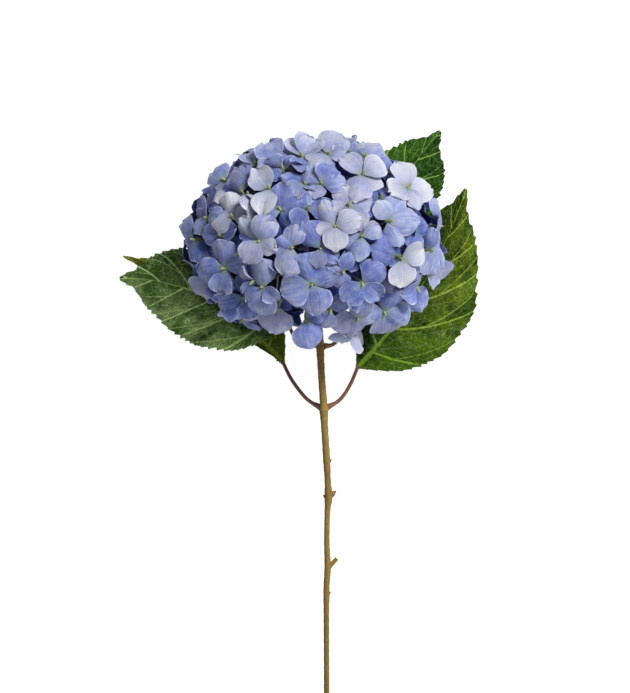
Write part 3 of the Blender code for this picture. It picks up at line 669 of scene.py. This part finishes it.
def build_head_stalks(plan, materials):
    """The branched flower stalk: a short trunk, its rays, a thin stalk to each floret, and the
    small closed bud in each floret's middle."""
    rng = np.random.default_rng(SEED + 2)
    hub, lower = millimetres(STEM_LINE[0][:3]), millimetres(STEM_LINE[1][:3])
    up_stem = unit(hub - lower)
    fork = hub + 0.006 * up_stem
    mouth = math.cos(math.radians(STALK_MOUTH_DEG + 12))
    ray_ways = even_directions(RAY_COUNT + 2)
    ray_ways = ray_ways[-ray_ways[:, 1] < mouth]
    ray_ends = HEAD_CENTRE + ray_ways * HEAD_RADII * RAY_REACH
    t = np.linspace(0, 1, 9)[None, :, None]
    trunk = hub + t * 0.012 * up_stem
    rays = fork + t * (ray_ends[:, None] - fork) + 0.004 * (t - t**2) * up_stem
    tips = plan["centre"] - 0.0002 * plan["facing"]
    nearest = (unit(tips - HEAD_CENTRE) @ ray_ways.T).argmax(axis=1)
    roots = ray_ends[nearest]
    swerve = tips - 0.012 * plan["facing"]
    stalks = (1 - t) ** 2 * roots[:, None] + 2 * (1 - t) * t * swerve[:, None] + t**2 * tips[:, None]
    step = np.linspace(0, 1, 9)
    bodies = [
        rods(trunk, 0.0021 + 0.0004 * step, 16),
        rods(rays, 0.0015 - 0.0003 * step, 10),
        rods(stalks, 0.0006 + 0.0004 * step**4, 8),
    ]
    make_piece(
        "flower_stalks", joined(bodies), materials["stalk"], ["flower_head"]
    )
    keep = np.arange(len(tips)) != len(FRONT_FLORETS)
    tips, facing = tips[keep], plan["facing"][keep]
    rise = np.array([0, 0.25, 0.55, 0.8, 0.95])
    fat = np.array([0.75, 1.0, 0.95, 0.65, 0.25])
    tall = rng.uniform(0.0030, 0.0052, len(tips))[:, None, None]
    leaning = unit(facing + rng.normal(0, 0.22, tips.shape))
    buds = tips[:, None] + rise[None, :, None] * tall * leaning[:, None]
    knobs = rods(below_top(buds), 0.00085 * fat, 12, flute=0.12)
    make_piece("floret_buds", knobs, materials["knob"], ["flower_head"])


# ---- Leaves ----


def blade_half_width(share, taper, drawn):
    """Half width of the blade at a share of its length, as a share of the greatest: an oval, less
    full towards the base, that starts at the width of the leaf stalk, draws in over its outer part
    and narrows sharply into the tip."""
    share = np.clip(share, 0, 1)
    fullness = 0.62 + 0.35 * np.clip(1 - share / 0.35, 0, 1)
    oval = np.sin(math.pi * share**taper) ** fullness
    neck = np.clip((share - TIP_NECK[0]) / (TIP_NECK[1] - TIP_NECK[0]), 0, 1)
    drawn_out = (1 - drawn * np.clip((share - 0.6) / 0.4, 0, 1)) * (1 - 0.45 * neck)
    return 0.035 * (1 - share) + 0.965 * oval * drawn_out


def vein_count(share, left):
    """A number that is whole on each side vein and grows from the base to the tip. The right
    half's veins leave the midrib a little later than the left's."""
    return VEIN_PAIRS * share + np.where(left, 0.0, 0.25)


def off_whole(numbers):
    """How far numbers are from the nearest whole one, from 0 to 1 halfway between two."""
    return 2 * np.abs(numbers - np.round(numbers))


def blade_surface(leaf, share, across):
    """Points of the blade, in metres. share runs from the base (0) to the tip (1) and across from
    the right margin (-1) to the left (1). Grid lines of equal share run along the side veins, which
    arch forward. The margin is drawn in between teeth that lean forward: their depth grows along
    each tooth and falls back at its point. The blade swells between the side veins and dips along
    them."""
    out = np.abs(across)
    sweep = VEIN_SWEEP * (1 - share) * np.minimum(1, share / 0.25) * share**0.35
    reached = share + sweep
    point, way = bezier(millimetres(leaf["midrib"]), share + sweep * out**1.2)
    side = np.stack([-way[..., 1], way[..., 0], np.zeros(way.shape[:-1])], axis=-1)
    side = unit(side)
    left = across > 0
    half = np.where(left, leaf["half"][0], leaf["half"][1]) / 1000
    rise = np.where(left, leaf["rise"][0], leaf["rise"][1]) / 1000
    taper, drawn = np.where(left, *leaf["taper"]), np.where(left, *leaf["drawn"])
    width = blade_half_width(reached, taper, drawn)
    size, turns, phase = leaf["wave"]
    lift = rise * width * out**1.4
    lift = lift + size / 1000 * width * out**2 * np.sin(2 * math.pi * turns * reached + phase)
    narrow = np.minimum(1, 2.5 * width)
    count, from_rib = vein_count(share, left), out * half * width
    gap = off_whole(count)
    swell = np.sin(gap * math.pi / 2) - 0.5
    lift = lift + QUILT_HEIGHT * swell * narrow * out * (1.6 - out)
    lift = lift - 0.0003 * np.exp(-((gap / 0.09) ** 2)) * narrow
    lift = lift - 0.0006 * np.exp(-((from_rib / 0.0016) ** 2))
    tooth = (TEETH * reached + 0.25 * np.sin(23 * reached)) % 1
    bite = TOOTH_DEPTH * (0.8 + 0.35 * np.sin(31 * reached + 2 * left)) * np.clip(share / 0.08, 0, 1)
    bite = np.minimum(bite / np.maximum(half * width, 1e-6), TOOTH_MOST)
    notch = bite * (1 - tooth**1.4) * np.clip((out - 0.86) / 0.14, 0, 1)
    point = point + side * (half * width * across * (1 - notch))[..., None]
    point[..., 2] += lift
    return point


def build_leaf(name, leaf, material):
    """A blade as one closed sheet, thicker along its midrib and side veins on the underside."""
    share = BLADE_END * np.linspace(0, 1, BLADE_ROWS)[:, None] ** 1.4
    across = np.linspace(-1, 1, BLADE_COLUMNS)[None, :]
    share, across = np.broadcast_arrays(share, across)
    out = np.abs(across)
    points = blade_surface(leaf, share, across)
    half = np.where(across > 0, *leaf["half"]) / 1000
    from_rib = out * half * blade_half_width(share, 1.0, 0.0)
    count = vein_count(share, across > 0)
    rib = np.exp(-((from_rib / 0.0013) ** 2)) * (1 - 0.7 * share)
    vein = np.exp(-((off_whole(count) / 0.12) ** 2)) * (1 - out) * 0.35
    under = BLADE_THICK + (RIB_THICK - BLADE_THICK) * np.maximum(rib, vein)
    under = under * np.minimum(1, 0.45 + (1 - out) * 4)
    points[..., 2] = np.maximum(points[..., 2], under + 0.0002)
    normals = grid_normals(points[None])
    body = sheet(points - normals * under[..., None] / 2, under, normals)
    steps = np.linalg.norm(np.diff(points[:, BLADE_COLUMNS // 2], axis=0), axis=1)
    along = np.concatenate([[0], np.cumsum(steps)])[:, None] + 0 * across
    wide = across * half * blade_half_width(share, 1.0, 0.0)
    flat = np.stack([along + 0.35 * np.abs(wide), wide], axis=-1)
    uv = np.tile(flat.reshape(-1, 2), (2, 1)) * 10

    def both(values):
        return np.tile(values.ravel(), 2)

    off_head = np.linalg.norm((points[..., :2] - HEAD_CENTRE[:2]) / HEAD_RADII[:2], axis=-1)
    values = {
        "share": both(share),
        # a painted shadow of the head on the blade: full within the head's outline, gone farther out
        "head_shadow": both(np.clip((HEAD_SHADOW_REACH - off_head) / (HEAD_SHADOW_REACH - 1), 0, 1) ** 2),
        "across": both(across),
        "side_veins": both(count),
        "rib": both(from_rib * 1000),
        "under": np.repeat([0.0, 1.0], share.size),
    }
    make_piece(name + "_blade", body, material, [name], uv, values, 60)


# ---- Stem ----


def stem_at(distance):
    """The stem's centre and radius, in metres, at a distance along -Y in millimetres."""
    table = np.array(STEM_LINE, float)
    found = [np.interp(distance, -table[:, 1], table[:, k]) for k in range(4)]
    return millimetres(found[:3]), found[3] / 1000


def build_stem(materials):
    """The woody stem with a slanted cut, the leaf stalks that grow from its nodes, the buds in
    their axils and the stub of a side shoot."""
    line = smooth_line(STEM_LINE, 420) / 1000
    paths, radii = line[:, :3], line[:, 3]
    seam = 0.03 * np.sin(paths[:, 1] * 900) + 0.02 * np.sin(paths[:, 1] * 2100 + 1)
    cane = rods(paths[None], (radii * (1 + seam))[None], CANE_SIDES, flute=0.015, flutes=5)
    vertices, quads, triangles = cane
    vertices[:, 2] = np.maximum(vertices[:, 2], 0.0001)
    slant = math.tan(math.radians(CUT_SLANT_DEG))
    limit = CUT_Y + slant * vertices[:, 2]
    vertices[:, 1] = np.maximum(vertices[:, 1], limit)
    # Painted shade down the flanks: strongest on the left flank, weaker on the right
    to_left = np.cos(np.arange(CANE_SIDES) * 2 * math.pi / CANE_SIDES)
    flank_shade = np.maximum(to_left, -0.7 * to_left)
    values = {"flank_shade": np.concatenate([np.tile(flank_shade, len(paths)), [0, 0]])}
    make_piece("stem_cane", cane, materials["bark"], ["stem"], None, values, 40)
    stalks = []
    for leaf in LEAVES.values():
        path = smooth_line(leaf["stalk"], 60) / 1000
        t = np.linspace(0, 1, 60)
        radius = STALK_RADIUS * np.interp(t, [0, 0.08, 0.22, 0.9, 1], [2.0, 1.5, 1.0, 0.92, 0.95])
        stalks.append(rods(path[None], radius[None], 20, flute=0.05, flutes=2))
    make_piece("leaf_stalks", joined(stalks), materials["stalk_red"], ["stem"])
    buds = []
    t = np.linspace(0, 1, 14)
    for distance, round_deg, length, radius, lean_deg in BUDS:
        buds.append(side_growth(distance, round_deg, length, lean_deg, t, radius * bud_profile(t)))
    make_piece("side_buds", joined(buds), materials["bud"], ["stem"])
    distance, round_deg, length, radius, lean_deg = STUB
    profile = radius * np.interp(t, [0, 0.3, 0.85, 1], [1.25, 0.8, 0.78, 0.7])
    stub = side_growth(distance, round_deg, length, lean_deg, t, profile)
    make_piece("shoot_stub", stub, materials["bark"], ["stem"])


def bud_profile(t):
    """Radius along a bud, as a share of its greatest: fullest at a third, then drawn to a point."""
    return np.sin(math.pi * np.clip(0.18 + 0.8 * t, 0, 1)) ** 0.8 * (1 - 0.25 * t)


def side_growth(distance, round_deg, length, lean_deg, t, radii_mm):
    """A round body that leaves the stem at an angle and leans towards the head."""
    centre, _ = stem_at(distance)
    outward = np.array([math.cos(math.radians(round_deg)), 0, math.sin(math.radians(round_deg))])
    lean = math.radians(lean_deg)
    way = math.sin(lean) * outward + np.array([0, math.cos(lean), 0])
    path = centre + t[:, None] * way * length / 1000
    return rods(path[None], radii_mm[None] / 1000, 16, reference=(0.3, 0, 1))


# ---- Materials ----


def new_group(name, inputs, outputs):
    """A shader node group with named sockets: pairs of (name, kind)."""
    group = bpy.data.node_groups.new(name, "ShaderNodeTree")
    for in_out, sockets in (("INPUT", inputs), ("OUTPUT", outputs)):
        for socket, kind in sockets:
            group.interface.new_socket(name=socket, in_out=in_out, socket_type="NodeSocket" + kind)
    return group, group.nodes.new("NodeGroupInput"), group.nodes.new("NodeGroupOutput")


def add_math(tree, operation, first, second=None, third=None, clamp=False):
    """A Math node; each of its inputs is a socket or a number."""
    node = tree.nodes.new("ShaderNodeMath")
    node.operation = operation
    node.use_clamp = clamp
    for socket, value in zip(node.inputs, (first, second, third)):
        if isinstance(value, bpy.types.NodeSocket):
            tree.links.new(value, socket)
        elif value is not None:
            socket.default_value = value
    return node.outputs[0]


def add_mix(tree, factor, first, second, blend="MIX"):
    """A colour Mix node; factor and colours are sockets or values."""
    node = tree.nodes.new("ShaderNodeMix")
    node.data_type = "RGBA"
    node.blend_type = blend
    for socket, value in ((node.inputs[0], factor), (node.inputs[6], first), (node.inputs[7], second)):
        if isinstance(value, bpy.types.NodeSocket):
            tree.links.new(value, socket)
        elif isinstance(value, (int, float)):
            socket.default_value = value
        else:
            socket.default_value = (*value, 1)
    return node.outputs[2]


def add_ramp(tree, value, stops):
    """A colour ramp on a socket. stops are (place, colour)."""
    node = tree.nodes.new("ShaderNodeValToRGB")
    ramp = node.color_ramp
    while len(ramp.elements) < len(stops):
        ramp.elements.new(0.5)
    for element, (place, colour) in zip(ramp.elements, stops):
        element.position = place
        element.color = (*colour, 1)
    tree.links.new(value, node.inputs[0])
    return node.outputs[0]


def add_range(tree, value, low, high, to_low=0.0, to_high=1.0):
    """A clamped linear map of a socket."""
    node = tree.nodes.new("ShaderNodeMapRange")
    tree.links.new(value, node.inputs[0])
    for socket, number in zip(node.inputs[1:5], (low, high, to_low, to_high)):
        socket.default_value = number
    return node.outputs[0]


def add_attribute(tree, name):
    node = tree.nodes.new("ShaderNodeAttribute")
    node.attribute_name = name
    return node.outputs["Fac"]


def add_noise(tree, vector, scale, detail=3.0, roughness=0.5):
    node = tree.nodes.new("ShaderNodeTexNoise")
    node.inputs["Scale"].default_value = scale
    node.inputs["Detail"].default_value = detail
    node.inputs["Roughness"].default_value = roughness
    tree.links.new(vector, node.inputs["Vector"])
    return node.outputs["Fac"]


def add_noise_colour(tree, vector, scale):
    """Three uneven values at once, centred on nought, as a vector."""
    node = tree.nodes.new("ShaderNodeTexNoise")
    node.inputs["Scale"].default_value = scale
    tree.links.new(vector, node.inputs["Vector"])
    centred = tree.nodes.new("ShaderNodeVectorMath")
    centred.operation = "SUBTRACT"
    tree.links.new(node.outputs["Color"], centred.inputs[0])
    centred.inputs[1].default_value = (0.5, 0.5, 0.5)
    return centred.outputs[0]


def add_stretch(tree, vector, scale):
    """The vector with each axis scaled."""
    node = tree.nodes.new("ShaderNodeMapping")
    node.inputs["Scale"].default_value = scale
    tree.links.new(vector, node.inputs["Vector"])
    return node.outputs[0]


def add_group(tree, group, **values):
    """A group node; each named input is a socket or a number."""
    node = tree.nodes.new("ShaderNodeGroup")
    node.node_tree = group
    for name, value in values.items():
        socket = node.inputs[name.replace("_", " ").capitalize()]
        if isinstance(value, bpy.types.NodeSocket):
            tree.links.new(value, socket)
        else:
            socket.default_value = value
    return node.outputs


def mottle_group():
    """Uneven colour and a fine uneven surface, from two sizes of noise: Mask is 0 to 1, Relief too."""
    group, inside, outside = new_group(
        "natural_mottle",
        (("Vector", "Vector"), ("Patch size", "Float"), ("Contrast", "Float")),
        (("Mask", "Float"), ("Relief", "Float")),
    )
    broad = group.nodes.new("ShaderNodeTexNoise")
    broad.inputs["Detail"].default_value = 4
    group.links.new(inside.outputs["Vector"], broad.inputs["Vector"])
    per_metre = add_math(group, "DIVIDE", 1.0, inside.outputs["Patch size"])
    group.links.new(per_metre, broad.inputs["Scale"])
    fine = group.nodes.new("ShaderNodeTexNoise")
    fine.inputs["Detail"].default_value = 2
    group.links.new(inside.outputs["Vector"], fine.inputs["Vector"])
    group.links.new(add_math(group, "MULTIPLY", per_metre, 9.0), fine.inputs["Scale"])
    centred = add_math(group, "SUBTRACT", broad.outputs["Fac"], 0.5)
    spread = add_math(group, "MULTIPLY", centred, inside.outputs["Contrast"])
    mask = add_math(group, "ADD", spread, 0.5, clamp=True)
    group.links.new(mask, outside.inputs["Mask"])
    group.links.new(fine.outputs["Fac"], outside.inputs["Relief"])
    return group


def start_material(name, roughness):
    """A material with its Principled shader, and the Object coordinates socket."""
    material = bpy.data.materials.new(name)
    material.use_nodes = True
    tree = material.node_tree
    shader = tree.nodes["Principled BSDF"]
    shader.inputs["Roughness"].default_value = roughness
    place = tree.nodes.new("ShaderNodeTexCoord").outputs["Object"]
    return material, tree, shader, place


def add_bump(tree, shader, height, depth, strength=1.0):
    """Relief of that depth in metres, on the shader's normal."""
    node = tree.nodes.new("ShaderNodeBump")
    node.inputs["Strength"].default_value = strength
    node.inputs["Distance"].default_value = depth
    tree.links.new(height, node.inputs["Height"])
    tree.links.new(node.outputs["Normal"], shader.inputs["Normal"])


def sepal_material(mottle):
    """Thin, matt and slightly clear petal tissue: its colour runs from violet blue to white with
    the floret's tone, clouded and streaked by veins that spread from the claw, greyer on some
    sepals and more violet on others, with a pale edge that is partly painted rim light, and darker
    towards the claw, partly with painted shade. Painted shade, with a denser blue, darkens it deep
    in the head."""
    material, tree, shader, place = start_material("sepal", 0.55)
    surface = tree.nodes.new("ShaderNodeUVMap")
    surface.uv_map = "surface"
    split = tree.nodes.new("ShaderNodeSeparateXYZ")
    tree.links.new(surface.outputs[0], split.inputs[0])
    across, along = split.outputs[0], split.outputs[1]
    tone = add_attribute(tree, "tone")
    chance = add_attribute(tree, "chance")
    cloud = add_group(tree, mottle, vector=place, patch_size=0.0045, contrast=2.4)
    fans = []
    for spread, stretch, detail in ((7.0, 0.9, 1.0), (19.0, 1.5, 2.0)):
        fan = tree.nodes.new("ShaderNodeCombineXYZ")
        tree.links.new(add_math(tree, "MULTIPLY", across, spread), fan.inputs[0])
        tree.links.new(add_math(tree, "MULTIPLY", along, stretch), fan.inputs[1])
        tree.links.new(add_math(tree, "MULTIPLY", chance, 60.0), fan.inputs[2])
        fans.append(add_noise(tree, fan.outputs[0], 1.0, detail, 0.55))
    vein = add_range(tree, fans[1], 0.48, 0.34)
    ribbed = add_range(tree, fans[0], 0.35, 0.65)
    uneven = add_math(tree, "ADD", add_math(tree, "MULTIPLY", cloud["Mask"], 0.34), -0.17)
    uneven = add_math(tree, "ADD", uneven, add_math(tree, "MULTIPLY_ADD", ribbed, 0.14, -0.07))
    base = add_ramp(tree, add_math(tree, "ADD", tone, uneven), SEPAL_STOPS)
    grey = add_range(tree, chance, 0.28, 0.0, 0.0, 0.5)
    base = add_mix(tree, grey, base, SEPAL_GREY)
    violet = add_range(tree, chance, 0.72, 1.0, 0.0, 0.35)
    base = add_mix(tree, violet, base, SEPAL_VIOLET)
    veiled = add_range(tree, tone, 0.3, 1.0, 0.48, 0.14)
    vein = add_math(tree, "MULTIPLY", vein, veiled)
    streaked = add_mix(tree, vein, base, (0.50, 0.50, 0.74), "MULTIPLY")
    # A paler margin, partly painted rim light where light catches the thin edge
    beside = add_range(tree, add_math(tree, "ABSOLUTE", across), 0.86, 0.98)
    beyond = add_range(tree, along, 0.90, 0.99)
    rim = add_math(tree, "MULTIPLY", add_math(tree, "MAXIMUM", beside, beyond), cloud["Mask"])
    pale_edge_and_rim_light = add_mix(tree, add_math(tree, "MULTIPLY", rim, 0.7), streaked, (0.62, 0.66, 0.80))
    # Darker towards the claw: partly painted shade at the sepal's foot, partly a deeper blue
    foot = add_range(tree, along, 0.72, 0.08, 0.0, 0.7)
    dark_foot = add_mix(tree, foot, pale_edge_and_rim_light, (0.40, 0.45, 0.72), "MULTIPLY")
    claw = add_range(tree, along, 0.24, 0.06)
    clawed = add_mix(tree, add_math(tree, "MULTIPLY", claw, 0.5), dark_foot, (0.24, 0.32, 0.20))
    # Painted shade deep in the head, where the outer sepals cover it, with a denser blue
    deep = add_math(tree, "MULTIPLY", add_attribute(tree, "deep"), 0.93)
    painted_shade = add_mix(tree, deep, clawed, (0.20, 0.30, 0.66), "MULTIPLY")
    tree.links.new(painted_shade, shader.inputs["Base Color"])
    shader.inputs["Subsurface Weight"].default_value = 0.10
    shader.inputs["Subsurface Radius"].default_value = (0.6, 0.7, 1.0)
    shader.inputs["Subsurface Scale"].default_value = 0.001
    shader.inputs["Sheen Weight"].default_value = 0.04
    shader.inputs["Sheen Roughness"].default_value = 0.5
    shader.inputs["Specular IOR Level"].default_value = 0.2
    relief = add_math(tree, "ADD", add_math(tree, "MULTIPLY", fans[0], 1.4), fans[1])
    relief = add_math(tree, "ADD", relief, add_math(tree, "MULTIPLY", cloud["Mask"], 0.6))
    add_bump(tree, shader, relief, 0.0004, 0.65)
    return material


def leaf_material(name, mottle, look):
    """A leaf blade: deep green that freshens in patches, with painted light and sheen in patches on
    the half given as lit and painted shade on the other half, a painted shadow near the head,
    painted shade near the base, and paler below. It has a light midrib, side veins that fork and
    thin out towards the margin, and between them two sizes of net whose meshes swell, with painted
    shade in the grooves round them."""
    material, tree, shader, place = start_material(name, 0.42)
    surface = tree.nodes.new("ShaderNodeUVMap")
    surface.uv_map = "surface"
    patch = add_group(tree, mottle, vector=place, patch_size=0.022, contrast=4.0)
    cloud = add_group(tree, mottle, vector=surface.outputs[0], patch_size=0.13, contrast=4.5)
    broken = add_noise(tree, place, 230.0, 2.0)
    wobble = add_mix(tree, 0.03, surface.outputs[0], add_noise_colour(tree, place, 130.0), "ADD")
    lines, domes = [], []
    for scale, width in NET_SIZES:
        cells = tree.nodes.new("ShaderNodeTexVoronoi")
        cells.feature = "DISTANCE_TO_EDGE"
        cells.inputs["Scale"].default_value = scale
        tree.links.new(wobble, cells.inputs["Vector"])
        lines.append(add_range(tree, cells.outputs["Distance"], 0.0, width, 1.0, 0.0))
        domes.append(add_range(tree, cells.outputs["Distance"], 0.0, 0.30))
    across = add_attribute(tree, "across")
    share = add_attribute(tree, "share")
    out = add_math(tree, "ABSOLUTE", across)
    from_rib = add_math(tree, "MULTIPLY_ADD", share, 0.5, add_attribute(tree, "rib"))
    rib = add_range(tree, from_rib, 0.55, 1.15, 1.0, 0.0)
    thinned = add_math(tree, "MULTIPLY", out, 0.014)
    side_veins = add_attribute(tree, "side_veins")
    side = add_math(tree, "ADD", add_math(tree, "PINGPONG", side_veins, 0.5), thinned)
    side = add_range(tree, side, 0.022, 0.055, 1.0, 0.0)
    forked = add_math(tree, "MAXIMUM", add_math(tree, "SUBTRACT", out, 0.4), 0.0)
    forked = add_math(tree, "MULTIPLY_ADD", forked, -0.9, side_veins)
    fork = add_math(tree, "ADD", add_math(tree, "PINGPONG", forked, 0.5), thinned)
    fork = add_range(tree, fork, 0.018, 0.040, 0.7, 0.0)
    coarse = add_math(tree, "MULTIPLY", lines[0], add_range(tree, broken, 0.65, 0.40, 0.45, 1.0))
    net = add_math(tree, "MAXIMUM", coarse, add_math(tree, "MULTIPLY", lines[1], 0.6))
    # Painted light and sheen in patches on the half given as lit; painted shade on the other half
    lit_half_sign = look["lit_half"]
    turned = add_range(tree, across, -0.5 * lit_half_sign, 0.8 * lit_half_sign, 0.15, 1.0)
    base = add_mix(tree, patch["Mask"], look["deep"], look["fresh"])
    painted_light_mask = add_math(tree, "MULTIPLY", cloud["Mask"], turned)
    base = add_mix(tree, add_math(tree, "MULTIPLY", painted_light_mask, 0.9), base, look["painted_light"])
    base = add_mix(tree, add_range(tree, turned, 0.7, 0.15, 0.0, 0.6), base, AWAY_SHADE, "MULTIPLY")
    swollen = add_math(tree, "MULTIPLY", domes[0], domes[1])
    # Painted shade in the grooves round the swollen meshes
    groove_shaded = add_mix(tree, add_range(tree, swollen, 0.0, 0.5, 0.75, 0.0), base, look["deep"])
    # The net lines are lighter under the painted sheen
    net = add_math(tree, "MULTIPLY", net, add_range(tree, painted_light_mask, 0.0, 0.7, 0.5, 1.0))
    netted = add_mix(tree, add_math(tree, "MULTIPLY", net, look["net"]), groove_shaded, look["vein"])
    ribs = add_math(tree, "MAXIMUM", add_math(tree, "MAXIMUM", side, fork), rib)
    veined = add_mix(tree, add_math(tree, "MULTIPLY", ribs, 0.9), netted, look["vein"])
    # Painted shadow of the head on the blade
    near = add_math(tree, "MULTIPLY", add_attribute(tree, "head_shadow"), look["head_shadow"])
    painted_shade = add_mix(tree, near, veined, (0.16, 0.24, 0.14), "MULTIPLY")
    # Painted shade towards the leaf's base
    foot = add_range(tree, share, 0.5, 0.12, 0.0, look["foot"])
    dimmed = add_mix(tree, foot, painted_shade, (0.36, 0.50, 0.20), "MULTIPLY")
    under = add_math(tree, "MULTIPLY", add_attribute(tree, "under"), 0.7)
    sided = add_mix(tree, under, dimmed, UNDERSIDE)
    tree.links.new(sided, shader.inputs["Base Color"])
    tree.links.new(add_range(tree, patch["Relief"], 0.3, 0.7, 0.30, 0.50), shader.inputs["Roughness"])
    shader.inputs["Specular IOR Level"].default_value = 0.09
    height = add_math(tree, "ADD", add_math(tree, "MULTIPLY", swollen, 1.4), patch["Relief"])
    add_bump(tree, shader, height, 0.0009, 0.9)
    return material


def bark_material(mottle):
    """Young bark: red brown below the head, tan in the middle and darker towards the cut, with
    painted shade down the flanks, fine lines along the stem and pale corky specks."""
    material, tree, shader, place = start_material("bark", 0.6)
    split = tree.nodes.new("ShaderNodeSeparateXYZ")
    tree.links.new(place, split.inputs[0])
    down = add_range(tree, split.outputs[1], -0.05, -0.33)
    stops = (
        (0.0, (0.180, 0.070, 0.022)),
        (0.24, (0.310, 0.200, 0.045)),
        (0.38, (0.250, 0.140, 0.036)),
        (0.5, (0.300, 0.185, 0.040)),
        (1.0, (0.155, 0.085, 0.016)),
    )
    base = add_ramp(tree, down, stops)
    lines = add_noise(tree, add_stretch(tree, place, (1400, 60, 1400)), 1.0, 3.0)
    patch = add_group(tree, mottle, vector=place, patch_size=0.006, contrast=2.5)
    lined = add_mix(tree, add_range(tree, lines, 0.35, 0.7, 0.0, 0.6), base, (0.075, 0.040, 0.018))
    green = add_mix(tree, add_math(tree, "MULTIPLY", patch["Mask"], 0.4), lined, (0.230, 0.190, 0.040))
    specks = tree.nodes.new("ShaderNodeTexVoronoi")
    specks.inputs["Scale"].default_value = 1.0
    tree.links.new(add_stretch(tree, place, (420, 240, 420)), specks.inputs["Vector"])
    cork = add_range(tree, specks.outputs["Distance"], 0.16, 0.08, 0.0, 0.7)
    corky = add_mix(tree, cork, green, (0.38, 0.27, 0.14))
    # Painted shade down the stem's flanks
    flank_shade_amount = add_range(tree, add_attribute(tree, "flank_shade"), 0.55, 0.98, 0.0, 0.85)
    flank_shaded = add_mix(tree, flank_shade_amount, corky, (0.20, 0.15, 0.10), "MULTIPLY")
    tree.links.new(flank_shaded, shader.inputs["Base Color"])
    shader.inputs["Specular IOR Level"].default_value = 0.2
    height = add_math(tree, "ADD", lines, add_math(tree, "MULTIPLY", cork, 1.5))
    add_bump(tree, shader, height, 0.0002, 0.8)
    return material


def plain_growth_material(name, mottle, first, second, roughness, patch_size):
    """Smooth stalk or bud tissue whose two colours run into each other."""
    material, tree, shader, place = start_material(name, roughness)
    patch = add_group(tree, mottle, vector=place, patch_size=patch_size, contrast=2.0)
    tree.links.new(add_mix(tree, patch["Mask"], first, second), shader.inputs["Base Color"])
    shader.inputs["Subsurface Weight"].default_value = 0.08
    shader.inputs["Subsurface Scale"].default_value = 0.001
    add_bump(tree, shader, patch["Relief"], 0.00015, 0.6)
    return material


# ---- Floor, light and camera ----

FLOOR_SIDE = 8.0
FLOOR_GLOW = 0.91
WORLD_STRENGTH = 0.28
KEY_WATTS, FILL_WATTS = 97, 14
CAMERA_PLACE = (0.002, -0.069, 1.139)
CAMERA_LENS = 85


def build_floor():
    mesh = bpy.data.meshes.new("floor")
    half = FLOOR_SIDE / 2
    corners = [(-half, -half, 0), (half, -half, 0), (half, half, 0), (-half, half, 0)]
    mesh.from_pydata(corners, [], [(0, 1, 2, 3)])
    material, tree, shader, place = start_material("glowing_floor", 0.9)
    tone = add_range(tree, add_noise(tree, place, 3.0), 0.3, 0.7, 0.22, 0.24)
    mixed = tree.nodes.new("ShaderNodeCombineColor")
    for socket in mixed.inputs[:3]:
        tree.links.new(tone, socket)
    tree.links.new(mixed.outputs[0], shader.inputs["Base Color"])
    # The floor glows, which keeps it white where shadows fall on it; its own colour is a dark grey
    shader.inputs["Emission Color"].default_value = (1, 1, 1, 1)
    shader.inputs["Emission Strength"].default_value = FLOOR_GLOW
    mesh.materials.append(material)
    floor = bpy.data.objects.new("floor", mesh)
    bpy.context.scene.collection.objects.link(floor)


def add_softbox(name, place, aim, side, watts, colour):
    """A square area light that faces aim."""
    light = bpy.data.lights.new(name, "AREA")
    light.size = side
    light.energy = watts
    light.color = colour
    lamp = bpy.data.objects.new(name, light)
    lamp.location = place
    lamp.rotation_euler = (Vector(place) - Vector(aim)).to_track_quat("Z", "Y").to_euler()
    bpy.context.scene.collection.objects.link(lamp)


def build_light_and_camera():
    scene = bpy.context.scene
    world = bpy.data.worlds.new("studio")
    world.use_nodes = True
    background = world.node_tree.nodes["Background"]
    background.inputs["Color"].default_value = (1, 1, 1, 1)
    background.inputs["Strength"].default_value = WORLD_STRENGTH
    scene.world = world
    add_softbox("key", (1.35, 1.25, 2.2), (0, -0.08, 0.05), 0.8, KEY_WATTS, (1, 0.99, 0.97))
    add_softbox("fill", (1.0, -1.5, 2.0), (0, -0.08, 0.03), 1.2, FILL_WATTS, (0.97, 0.98, 1))
    scene.view_settings.view_transform = "Standard"
    camera = bpy.data.objects.new("camera", bpy.data.cameras.new("camera"))
    camera.data.lens = CAMERA_LENS
    camera.location = CAMERA_PLACE
    scene.collection.objects.link(camera)
    scene.camera = camera


def main():
    mottle = mottle_group()
    materials = {
        "sepal": sepal_material(mottle),
        "bark": bark_material(mottle),
        "stalk": plain_growth_material(
            "floret_stalk", mottle, (0.20, 0.27, 0.09), (0.33, 0.38, 0.20), 0.5, 0.01
        ),
        "knob": plain_growth_material(
            "floret_bud", mottle, (0.20, 0.25, 0.10), (0.36, 0.41, 0.20), 0.5, 0.002
        ),
        "stalk_red": plain_growth_material(
            "leaf_stalk", mottle, (0.105, 0.024, 0.012), (0.170, 0.075, 0.026), 0.55, 0.012
        ),
        "bud": plain_growth_material(
            "side_bud", mottle, (0.120, 0.055, 0.028), (0.210, 0.120, 0.050), 0.55, 0.003
        ),
    }
    plan = floret_plan()
    build_sepals(plan, inner_plan(), materials)
    build_head_stalks(plan, materials)
    for name, leaf in LEAVES.items():
        build_leaf(name, leaf, leaf_material(name, mottle, LEAF_LOOKS[name]))
    build_stem(materials)
    build_floor()
    build_light_and_camera()


main()
